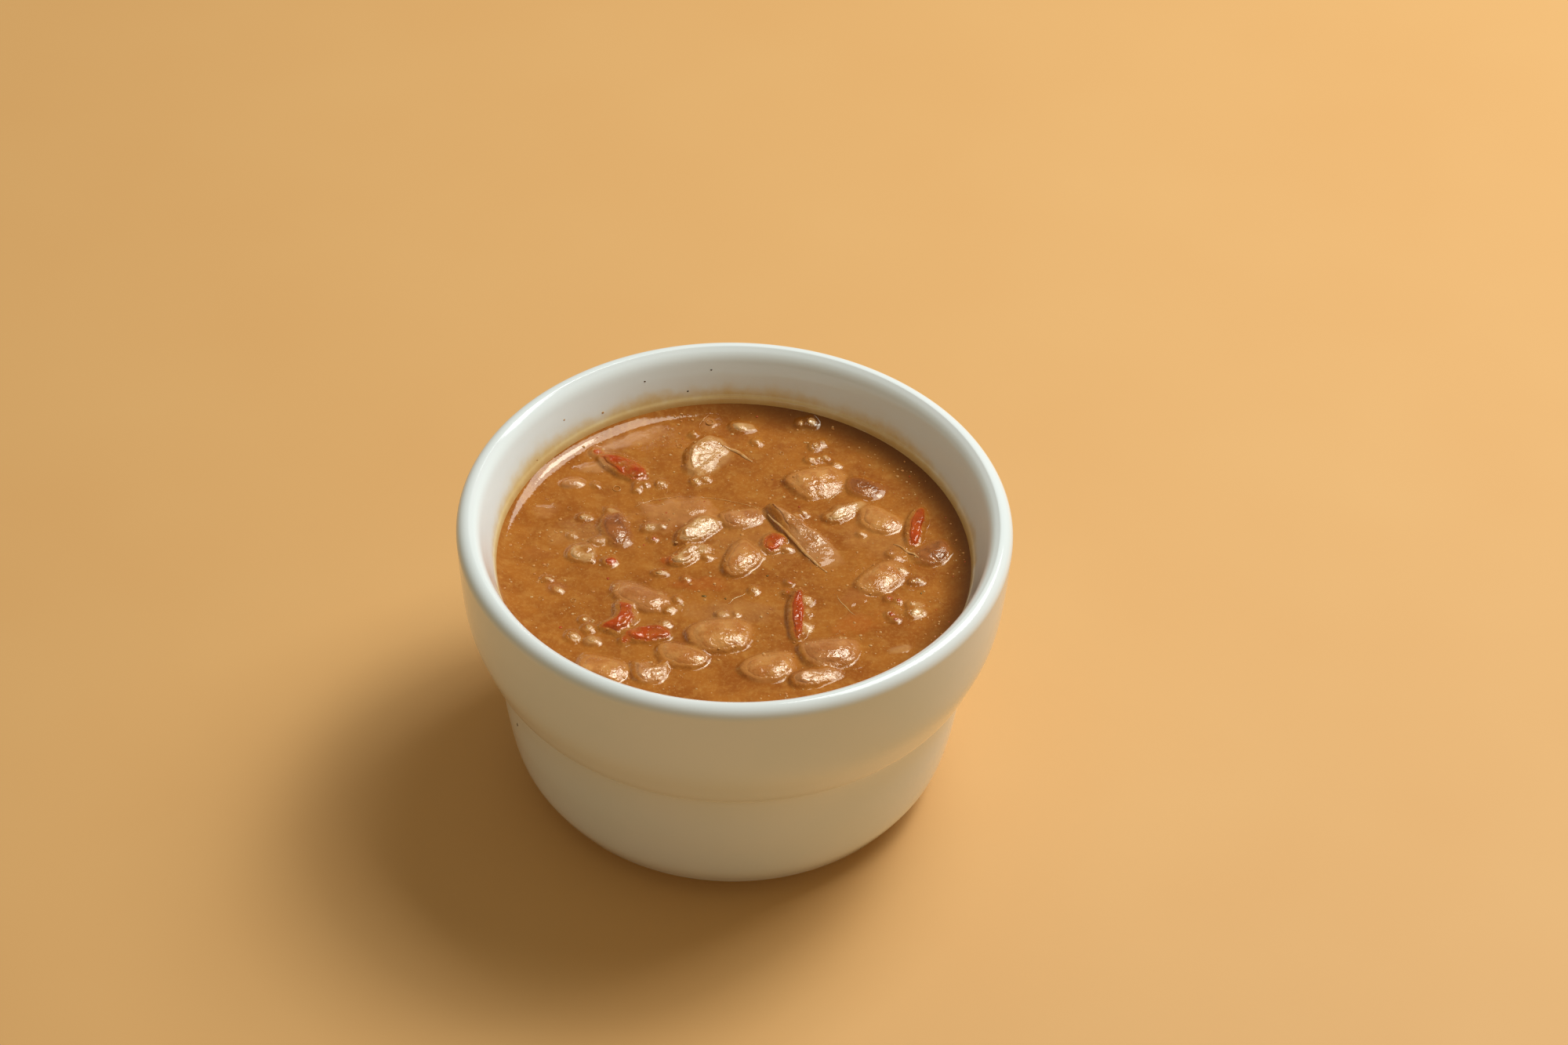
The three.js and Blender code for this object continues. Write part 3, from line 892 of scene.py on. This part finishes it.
def blunt(points, power):
    """Fills out a piece's corners, seen from above, from an oval towards a rounded block."""
    middle, _, _, along, across = on_its_ways(points)
    a = np.abs(along) / np.abs(along).max()
    b = np.abs(across) / np.abs(across).max()
    round_far = np.sqrt(a**2 + b**2)
    block_far = (a**power + b**power) ** (1 / power)
    grow = np.where(round_far > 0, round_far, 1) / np.where(block_far > 0, block_far, 1)
    return np.column_stack([middle + (points[:, :2] - middle) * grow[:, None], points[:, 2]])


def flattened(points, share):
    """Lowers what stands over the broth to a share of its height, and evens out its top."""
    over = np.maximum(points[:, 2] - BROTH_LEVEL, 0)
    most = over.max()
    lower = share * most * (1 - (1 - over / most) ** TOP_CURVE)
    return points - np.outer(over - lower, [0, 0, 1])


def warped(points, amount, size, seed):
    """Pushes a piece's outline about sideways."""
    flat = points * [1, 1, 0.3]
    push = [amount * layered(flat, size, seed + k, 2) for k in (0, 50)]
    return points + np.column_stack([*push, np.zeros(len(points))])


def leaned(points, amount):
    """Shears a piece so that its top turns towards the light, with its height kept."""
    lift = amount * (points[:, :2] - points[:, :2].mean(0)) @ BRIGHT_SLOPE
    height = points[:, 2] + lift
    return np.column_stack([points[:, :2], height + points[:, 2].max() - height.max()])


def shaped_piece(node, seed):
    """A CAD node's piece, cooked: softened, wrinkled, lowered, warped and leaned."""
    kind = kind_of(node)
    bean = node.startswith("bean")
    voxel, rounds = (BEAN_VOXEL, BEAN_ROUNDS) if bean else (SLICE_VOXEL, SLICE_ROUNDS)
    points, faces = softened(node, voxel, rounds)
    (deep, across), (fine_deep, fine_across), _ = RELIEF[kind]
    way = outward(points, faces)
    wide = deep * layered(points, across, seed)
    lift = PLUMPER + wide + fine_deep * layered(points, fine_across, seed + 9)
    points = points + way * lift[:, None]
    if bean:
        points = blunt(points, BEAN_CORNERS)
    points = flattened(points, BEAN_HEIGHT if bean else SLICE_HEIGHT)
    warp = WARPS.get(node, USUAL_BEAN_WARP if bean else USUAL_SLICE_WARP)
    points = warped(points, warp, WARP_SIZE, seed + 20)
    points = slimmed(tapered(points, TAPERS.get(node, 0)), SLIMMED.get(node, 1))
    points = leaned(points, LEANS.get(node, 0)) + SHIFTS.get(node, (0, 0, 0))
    return {"node": node, "kind": kind, "points": points, "faces": faces,
            "name": "cooked_" + node, "film": FILMS.get(node, USUAL_FILM)}


# Small loose bits: x, y, long, wide, and the turn of the long way in degrees. They were listed
# one by one, and the places of most were turned to millimetres through the camera by a program.
BITS = {
    "onion": [
        (-14.9, 22.7, 1.3, 1.1, 40), (-19.7, 22.5, 0.8, 0.6, 0), (-18.2, 22.5, 0.7, 0.6, 0),
        (-19.8, 20.8, 0.8, 0.6, 30), (-27.8, 21.6, 1.0, 0.5, -35), (-29.3, 12.0, 2.6, 1.5, 10),
        (-23.9, 13.7, 3.4, 1.6, -20), (-16.2, 9.6, 3.4, 2.0, 5), (-14.4, 9.9, 1.0, 0.8, 0),
        (-31.7, 6.4, 1.2, 0.8, -10), (-8.9, -5.0, 1.3, 0.9, 0), (-13.9, -3.4, 2.6, 1.0, 5),
        (-5.2, 1.5, 1.0, 0.7, 0), (4.4, -7.8, 1.5, 1.3, -40), (-1.3, -15.1, 1.8, 2.4, 90),
        (1.0, -14.6, 0.8, 0.7, 0), (-30.0, -22.3, 2.2, 2.4, 60), (-28.1, -17.4, 1.4, 1.2, -30),
        (-27.2, -19.8, 1.6, 1.6, 0), (-26.2, -23.2, 2.2, 1.6, 0), (-12.5, -17.8, 1.3, 1.6, -60),
        (-12.2, -29.3, 1.0, 0.9, -30), (15.5, 35.4, 1.3, 1.5, 60), (16.9, 36.5, 0.8, 0.8, 0),
        (14.8, 31.3, 1.6, 1.2, 15), (16.2, 31.7, 0.8, 0.7, 0), (17.6, 32.0, 1.0, 1.4, 80),
        (20.0, 29.7, 1.5, 1.0, -10), (6.5, 14.6, 1.7, 0.9, 15), (11.8, 14.1, 1.3, 0.9, 25),
        (13.6, 15.1, 0.8, 1.3, 70), (10.0, 11.5, 2.0, 1.2, 10), (18.8, 14.4, 2.2, 1.8, 0),
        (21.2, 15.7, 1.4, 1.1, 20), (1.0, 40.3, 4.6, 2.4, 0), (3.8, 36.1, 1.3, 1.0, -20),
        (-9.0, 37.9, 0.9, 0.6, 20), (33.0, -0.9, 1.9, 1.7, 0), (35.3, -3.7, 1.0, 0.9, 0),
        (36.4, -3.5, 1.0, 1.4, 70), (35.9, -10.4, 3.0, 1.5, -5), (36.2, -12.6, 3.4, 2.4, 0),
        (25.2, 9.4, 1.5, 0.8, -10), (14.8, 42.1, 2.2, 2.4, 0), (12.5, 41.8, 1.5, 1.5, 0),
        (14.4, -10.4, 2.8, 2.3, 10), (14.3, -17.8, 3.2, 3.4, 50), (14.6, -13.2, 1.0, 1.4, 0),
        (-10.4, -10.9, 0.9, 1.0, 0), (-13.9, -9.5, 0.7, 1.4, 80), (-13.8, -12.6, 1.6, 2.2, 70),
        (-11.9, -13.8, 1.8, 1.0, 40), (-33.7, -9.2, 2.2, 1.4, -30), (-35.9, -6.0, 0.8, 1.6, 80),
        (-7.4, 25.8, 1.8, 2.2, 40), (-6.1, 24.5, 1.6, 1.2, 20), (-8.1, 23.7, 1.2, 1.4, 0),
    ],
    "ham": [
        (10.6, 4.4, 1.0, 2.4, 80), (32.0, 2.7, 1.4, 1.2, 0), (31.0, 4.0, 1.2, 1.0, 0),
        (19.3, -25.8, 3.0, 1.4, 20), (-16.1, -29.7, 1.2, 1.6, 40), (-26.5, 5.3, 2.6, 1.2, 15),
        (-32.4, 21.9, 3.8, 1.2, 15),
    ],
    "tomato": [
        (-23.9, -0.7, 2.2, 2.2, 30), (-20.0, -22.5, 2.2, 1.8, 30), (8.8, 6.6, 2.6, 2.8, 20),
        (7.8, 4.3, 1.6, 1.2, 0), (11.1, -5.3, 0.8, 0.8, 0), (10.7, -8.2, 0.9, 0.9, 0),
        (-15.8, 6.4, 1.0, 0.9, 0), (30.6, -8.9, 0.9, 1.4, 60), (32.3, -9.4, 1.0, 0.8, -30),
        (30.9, -13.5, 1.2, 1.0, -40), (31.7, -14.6, 1.0, 0.8, 0), (-28.1, 31.1, 2.2, 1.6, 0),
    ],
}
BIT_RISE = 0.6  # how far a bit of 2 mm stands over the broth

# What lies just under the surface, and two pale patches that are painted reflections of the light:
# x, y, long, wide, turn, rise, look, and how much of it shows.
SUNK_AND_SHEEN = [
    (-11.8, 14.2, 17, 9.5, 8, 0.5, "bean_pink", 0.45),
    (-6.1, 41.2, 4.4, 4.8, 0, 0.35, "ham", 0.25),
    # This row and the next are painted reflections of the light on the broth near the wall, not
    # sunk food; the next one also swells the surface.
    (-22.0, 35.4, 17, 4.4, 30, 0.0, "ham", 0.4),
    (-27.6, 27.4, 8, 3.4, 15, 0.3, "ham", 0.4),
    (-32.6, 21.6, 5, 2.4, 12, 0.25, "ham", 0.4),
    (-37.5, 13.5, 5, 4, 0, 0.2, "ham", 0.15),
    (32.6, -22.8, 4.5, 2.6, 20, 0.2, "onion", 0.25),
    (-13.3, 0.6, 3.4, 2.4, 0, 0.2, "tomato", 0.3),
    (-6.5, -6.2, 12, 4.5, 0, 0.15, "tomato", 0.16),
    (24, -16, 10, 6, 20, 0.2, "tomato", 0.14),
    (-26.4, -23.2, 4, 2.6, 10, 0.25, "onion", 0.3),
    (23.4, -8.6, 7, 5, 40, 0.2, "bean_dark", 0.3),
    (-34.5, -8.0, 4, 5, 20, 0.15, "bean_dark", 0.35),
    (-38.6, 1.0, 7, 5, 0, 0.15, "bean_dark", 0.15),
    (28, 8, 16, 10, -30, 0.15, "bean_tan", 0.18),
    (4, 6, 24, 12, 0, 0.2, "bean_tan", 0.16),
    (0, -14, 20, 7, 0, 0.15, "onion", 0.1),
    (-31, 7, 12, 9, 0, 0.15, "onion", 0.1),
]

# Where fine pale grains gather on the surface: x, y, long, wide, turn, and how thick.
GRAINY = [
    (-29, 8, 10, 9, 0, 0.7), (-25, 14, 8, 5, 0, 0.8), (-7, 5, 17, 9, 20, 0.9),
    (10, 13, 8, 5, 0, 0.9), (6, 5, 6, 6, 0, 0.9), (20, 15, 7, 5, 30, 0.9),
    (-13, -12, 9, 6, 0, 1.0), (-27, -20, 8, 8, 0, 0.7), (34, -3, 7, 6, 0, 0.8),
    (35, -11, 6, 6, 0, 0.7), (-16, 22, 9, 4, 0, 0.8), (16, 33, 8, 8, 0, 0.7),
    (-13, -29, 8, 6, 0, 0.9), (31, -12, 9, 8, 0, 0.8), (34, 4, 9, 6, -30, 1.0),
    (19, -28, 12, 7, 10, 1.0), (-20, -19, 12, 8, 0, 0.8), (-21, 10, 7, 7, 0, 0.8),
    (1, 36, 10, 6, 0, 0.6), (3, -24, 22, 7, 10, 0.6), (27, -1, 12, 9, 40, 0.9),
    (17, 23, 15, 9, 20, 0.8), (-5, 25, 11, 7, 50, 0.7), (13, -14, 7, 13, 0, 0.8),
]

# Thin skins and strands: from x, y to x, y, how far they bow sideways, and how thick.
STRANDS = {
    "onion": [
        (-3.8, 34.6, 2.8, 30.4, 0.5, 0.9), (31.2, 7.1, 36.0, 2.8, 0.3, 0.62),
        (6.4, 14.0, 18.2, -1.7, -0.4, 0.8), (18.2, 18.6, 21.2, 23.3, 0.3, 0.24),
        (20.1, -7.8, 23.9, -13.4, -0.5, 0.22), (-0.9, -11.3, 2.5, -8.4, 0.2, 0.3),
    ],
    "bean_tan": [
        (-24.8, -10.4, -21.9, -7.0, -0.7, 0.26), (-23.9, -11.2, -20.6, -8.4, -0.7, 0.26),
        (-7.9, 39.2, -6.2, 43.6, 0.9, 0.2), (-13.9, 20.2, -13.7, 23.6, 0.1, 0.18),
        (-20.2, 16.0, -9.0, 19.4, 0.9, 0.3), (-9.4, 19.2, 5.0, 16.4, 0.9, 0.26),
        (38.6, -7.6, 41.0, -10.2, 0.2, 0.16),
    ],
}
# x, y and radius, then x, y and length.
BUBBLES = [
    (-23.9, 21.1, 0.75), (-30.8, -11.8, 0.5), (-37.1, -11.6, 0.45), (-11.9, 34.4, 0.5),
    (-6.1, 41.4, 0.7), (8.6, 33.2, 0.4), (-33.0, 14.6, 0.4),
]
HERBS = [(-5.6, -9.3, 0.9), (6.6, -3.2, 0.6), (36.6, -6.8, 0.5), (-1.4, -9.9, 0.5)]
CRUMBS = {"bean_tan": 620, "bean_dark": 16, "tomato": 60, "onion": 620}
CRUMB_SIZES = (0.12, 0.42)
CRUMB_CHANCE = 0.55  # how likely a grain stays where it falls, before clusters are counted in


def ball(subdivisions):
    """A sphere of radius 1: its points and faces."""
    shape = bmesh.new()
    bmesh.ops.create_icosphere(shape, subdivisions=subdivisions, radius=1)
    points = np.array([v.co for v in shape.verts])
    faces = np.array([[v.index for v in f.verts] for f in shape.faces])
    shape.free()
    return points, faces


def joined(parts):
    """Several (points, faces) as one."""
    points, faces, count = [], [], 0
    for some_points, some_faces in parts:
        points.append(some_points)
        faces.append(np.asarray(some_faces) + count)
        count += len(some_points)
    return np.vstack(points), np.vstack(faces)


def turned(points, degrees):
    angle = math.radians(degrees)
    c, s = math.cos(angle), math.sin(angle)
    return points @ np.array([[c, s, 0], [-s, c, 0], [0, 0, 1]])


def height_at(surface, x, y):
    return sampled(surface, np.array([x]), np.array([y]))[0]


def bit(x, y, long, wide, turn, seed, level):
    """One small uneven lump that stands a little out of the broth."""
    points, faces = ball(3)
    points = points * (1 + 0.28 * layered(points, 0.9, seed)[:, None])
    points[:, 2] = np.sign(points[:, 2]) * np.abs(points[:, 2]) ** 0.6
    thick = 0.3 * min(long, wide)
    points = turned(points * [long / 2, wide / 2, thick], turn)
    points = leaned(points, np.random.default_rng(seed).uniform(0.5, 1.2))
    rise = BIT_RISE * (0.6 + 0.3 * min(long, wide))
    return points + [x, y, height_at(level, x, y) + rise - points[:, 2].max()], faces


def strand(x0, y0, x1, y1, bow, thick, surface):
    """A thin tapered thread that lies along the broth."""
    steps, sides = 28, 8
    along = np.linspace(0, 1, steps)
    way = np.array([x1 - x0, y1 - y0])
    side = np.array([-way[1], way[0]]) / np.hypot(*way)
    aside = bow * np.sin(np.pi * along) + 0.12 * np.sin(9 * along + bow * 20)
    middle = np.array([x0, y0]) + along[:, None] * way + aside[:, None] * side
    radius = thick / 2 * (0.25 + 0.75 * np.sin(np.pi * np.clip(along, 0.04, 0.96)) ** 0.6)
    height = sampled(surface, middle[:, 0], middle[:, 1]) + 0.1 * radius
    angles = np.arange(sides) * 2 * math.pi / sides
    flat = middle[:, None] + (radius[:, None] * np.cos(angles))[..., None] * side
    up = height[:, None] + 0.45 * radius[:, None] * np.sin(angles)
    tube = np.concatenate([flat, up[..., None]], axis=-1).reshape(-1, 3)
    points = np.vstack([tube, [*middle[0], height[0]], [*middle[-1], height[-1]]])
    ring = np.arange(sides)
    beside, last = np.roll(ring, -1), (steps - 1) * sides
    start_cap = np.column_stack([np.full(sides, len(tube)), beside, ring])
    end_cap = np.column_stack([np.full(sides, len(tube) + 1), last + ring, last + beside])
    return points, np.vstack([split(tube_quads(steps, sides)), start_cap, end_cap])


def oval(x, y, long, wide, turn, uneven):
    """How far each grid place is from an uneven oval's middle: 1 at the oval's edge."""
    angle = math.radians(turn)
    along = (GRID_X - x) * math.cos(angle) + (GRID_Y - y) * math.sin(angle)
    across = (GRID_Y - y) * math.cos(angle) - (GRID_X - x) * math.sin(angle)
    return np.sqrt((along / (long / 2)) ** 2 + (across / (wide / 2)) ** 2) + uneven


def sunk_shapes_and_sheen():
    """The swell of what lies just under the surface, its colour, and how much of it shows; two of
    the patches are painted reflections of the light.
    """
    swell = np.zeros(GRID_X.shape)
    share = np.zeros(GRID_X.shape)
    colour = np.tile(np.array(BROTH_MAIN), (*GRID_X.shape, 1))
    uneven = 0.4 * layered(GRID_POINTS, 3.5, 300, 4).reshape(GRID_X.shape)
    for x, y, long, wide, turn, rise, look, shown in SUNK_AND_SHEEN:
        far = oval(x, y, long, wide, turn, uneven)
        swell = np.maximum(swell, rise * smooth_step(1.3, 0.2, far))
        here = shown * smooth_step(1.2, 0.5, far)
        colour[here > share] = LOOKS[look]["light"]
        share = np.maximum(share, here)
    return swell, colour, share


def grains():
    """How much each grid place is a pale grain of the paste, and how grainy it is, 0 to 1."""
    thick = np.full(GRID_X.shape, 0.1)
    uneven = 0.4 * layered(GRID_POINTS, 3.0, 320).reshape(GRID_X.shape)
    for *place, amount in GRAINY:
        thick = np.maximum(thick, amount * smooth_step(1.35, 0.5, oval(*place, uneven)))
    bumps = 0.65 * lumps(GRID_POINTS, 1.6, 330) + 0.6 * lumps(GRID_POINTS, 0.9, 331)
    grain = thick * smooth_step(0.1, 0.75, bumps.reshape(GRID_X.shape))
    return grain * smooth_step(0.5, 3.0, WALL_AT_BROTH - GRID_RADIUS), thick


def crumbs(count, surface, seed):
    """Fine grains, scattered over the broth and half sunk in it."""
    random = np.random.default_rng(seed)
    grain, faces = ball(2)
    parts = []
    small, large = CRUMB_SIZES
    while len(parts) < count:
        x, y = random.uniform(-WALL_AT_BROTH, WALL_AT_BROTH, 2)
        size = small + (large - small) * random.random() ** 3
        turn = random.uniform(0, 180)
        stretch = random.uniform(0.6, 1.0, 3) * [1, 1, 0.4]
        cluster = lumps(np.array([[x, y, 0.0]]), 9, 77)[0]
        if math.hypot(x, y) > WALL_AT_BROTH - 0.6 or random.random() > CRUMB_CHANCE + cluster:
            continue
        points = turned(grain * size * stretch, turn)
        parts.append((points + [x, y, height_at(surface, x, y)], faces))
    return joined(parts)


def bubble(x, y, radius, surface):
    """A small bubble's rim: a low ring on the broth, with the broth's own skin inside it."""
    around, sides = 24, 8
    thick = 0.2 * radius
    a = (np.arange(around) * 2 * math.pi / around)[:, None]
    b = np.arange(sides) * 2 * math.pi / sides
    far = radius + thick * np.cos(b)
    up = height_at(surface, x, y) + thick * np.sin(b) + 0 * a
    points = np.stack([x + far * np.cos(a), y + far * np.sin(a), up], axis=-1).reshape(-1, 3)
    return points, split(tube_quads(around, sides, closed=True))[:, ::-1]


def herb(x, y, wide, seed, surface):
    """A shred of green leaf that floats flat."""
    points, faces = ball(2)
    points = points * (1 + 0.5 * layered(points, 0.8, seed)[:, None])
    points = turned(points * [wide / 2, wide / 3, 0.1], 40 * seed)
    return points + [x, y, height_at(surface, x, y) + 0.03], faces


def make_food(name, shape, skin, coat, grainy, node=None):
    """A piece of food, with one number or one for each point for its broth coat and its grit."""
    points, faces = shape
    made = make_object(name, points, faces, [skin])
    set_number(made, "coat", np.full(len(points), coat))
    set_number(made, "grainy", np.full(len(points), grainy))
    part_of_bowl(made, node)


def all_pieces(level):
    """Every piece that stands out of the broth: the nodes' own, then the bits of each kind."""
    nodes = sorted(set(frame["nodes"]) - {"bowl", "broth"})
    pieces = [shaped_piece(node, 100 + 10 * i) for i, node in enumerate(nodes)]
    for i, (kind, rows) in enumerate(BITS.items()):
        points, faces = joined([bit(*row, 1000 * i + n, level) for n, row in enumerate(rows)])
        pieces.append({"node": None, "kind": kind, "points": points, "faces": faces,
                       "name": kind + "_bits", "film": BITS_FILM})
    return pieces


def seen_from_above(pieces):
    """The pieces' upper sides on the grid, and which piece is there, or -1."""
    top = np.full(GRID_X.shape, FAR_BELOW)
    owner = np.full(GRID_X.shape, -1)
    for mark, piece in enumerate(pieces):
        stamp_top(top, owner, piece["points"], [tuple(face) for face in piece["faces"]], mark)
    return top, owner


def painted_wall_shadow():
    """How dark the broth is painted along the wall, at the back and on the right: painted shadow of
    the wall.
    """
    turn = np.degrees(np.arctan2(GRID_Y, GRID_X))
    uneven = 0.8 * lumps(GRID_POINTS, 6, 61).reshape(turn.shape)
    dark = smooth_step(WALL_SHADOW_WIDE, 0, WALL_AT_BROTH - GRID_RADIUS + uneven)
    for none_at, full_at in WALL_SHADOW_ENDS:
        dark = dark * smooth_step(none_at, full_at, turn)
    return WALL_SHADOW_SHARE * dark


def laid_over(under, thin, colour, share):
    """Puts a colour under the broth wherever more of it shows than of what is there."""
    wins = share > thin
    under[wins] = np.broadcast_to(colour, under.shape)[wins]
    return np.maximum(thin, share)


def colours_under(pieces, owner, cover, sunk_and_sheen_colour, sunk_and_sheen_share, grain):
    """The colour that shows through the broth at each grid place, and how much of it shows."""
    kinds = sorted(RELIEF)
    tones = np.array([average(kind) for kind in kinds] + [BROTH_MAIN])
    marks = np.array([kinds.index(piece["kind"]) for piece in pieces] + [len(kinds)])
    under = tones[marks[owner]]
    seen = (1 - WATERLINE_FILM) * np.exp(-np.maximum(cover, 0) / SEEN_THROUGH)
    thin = np.where(owner >= 0, seen, 0)
    # What lies under the surface, and the painted reflections near the wall.
    thin = laid_over(under, thin, sunk_and_sheen_colour, sunk_and_sheen_share)
    share = GRAIN_SHOWN * grain
    under = under * (1 - share[..., None]) + np.array(LOOKS["onion"]["light"]) * share[..., None]
    thin = np.maximum(thin, share)
    # Painted shadow of the wall, laid on the broth at the back and the right.
    thin = laid_over(under, thin, WALL_SHADOW_TONE, painted_wall_shadow())
    return under, thin


def make_piece(piece, skin, surface):
    """Builds a piece, with more broth and grit on it close to its waterline."""
    points = piece["points"]
    over = points[:, 2] - sampled(surface, points[:, 0], points[:, 1])
    edge = WATERLINE_FILM * np.exp(-np.maximum(over, 0) / WATERLINE_FADE)
    patchy = piece["film"] * smooth_step(-0.5, 0.5, layered(points, 2.5, 70))
    coat = edge + (1 - edge) * patchy
    grit = np.clip(smooth_step(1.7, 0.3, over) + 0.5 * layered(points, 2.2, 71), 0.12, 1)
    shape = (points, piece["faces"])
    make_food(piece["name"], shape, skin, coat, grit, piece["node"])


def make_bubbles(surface):
    points, faces = joined([bubble(*row, surface) for row in BUBBLES])
    even = np.ones(len(points))
    gold = np.tile(BROTH_GOLD, (len(points), 1))
    make_wet("broth_bubbles", points, faces, 0.35 * even, 0 * even, gold)


def make_contents():
    """The broth and all that is in it."""
    level = open_surface()
    pieces = all_pieces(level)
    top, owner = seen_from_above(pieces)
    swell, sunk_and_sheen_colour, sunk_and_sheen_share = sunk_shapes_and_sheen()
    grain, grainy = grains()
    surface = wet_surface(top, level + swell) + GRAIN_RISE * grain
    under, thin = colours_under(pieces, owner, surface - top, sunk_and_sheen_colour, sunk_and_sheen_share, grain)
    near = smooth_step(0.1, 0.6, blurred(spread(top, 0.5, 2.4), 2) - level)
    make_broth(surface, thin, under, np.maximum(grainy, near))
    skins = {
        kind: food_material(kind + "_skin", kind, relief=RELIEF[kind][2], ior=WETNESS[kind])
        for kind in sorted(RELIEF)
    }
    for piece in pieces:
        make_piece(piece, skins[piece["kind"]], surface)
    for kind, rows in STRANDS.items():
        shape = joined([strand(*row, surface) for row in rows])
        make_food(kind + "_strands", shape, skins[kind], coat=0.35, grainy=0.8)
    make_bubbles(surface)
    shreds = joined([herb(*row, n, surface) for n, row in enumerate(HERBS)])
    make_food("herb_shreds", shreds, food_material("herb_skin", "herb", 0.05), 0.3, 0.5)
    for n, (kind, count) in enumerate(CRUMBS.items()):
        shape = crumbs(count, surface, 500 + n)
        skin = food_material(kind + "_crumb_skin", kind, relief=0.02, roughness=0.35, ior=1.4)
        make_food(kind + "_crumbs", shape, skin, coat=0.3, grainy=0.0)


make_camera()
make_light()
make_floor()
make_contents()
make_cup()
make_specks()
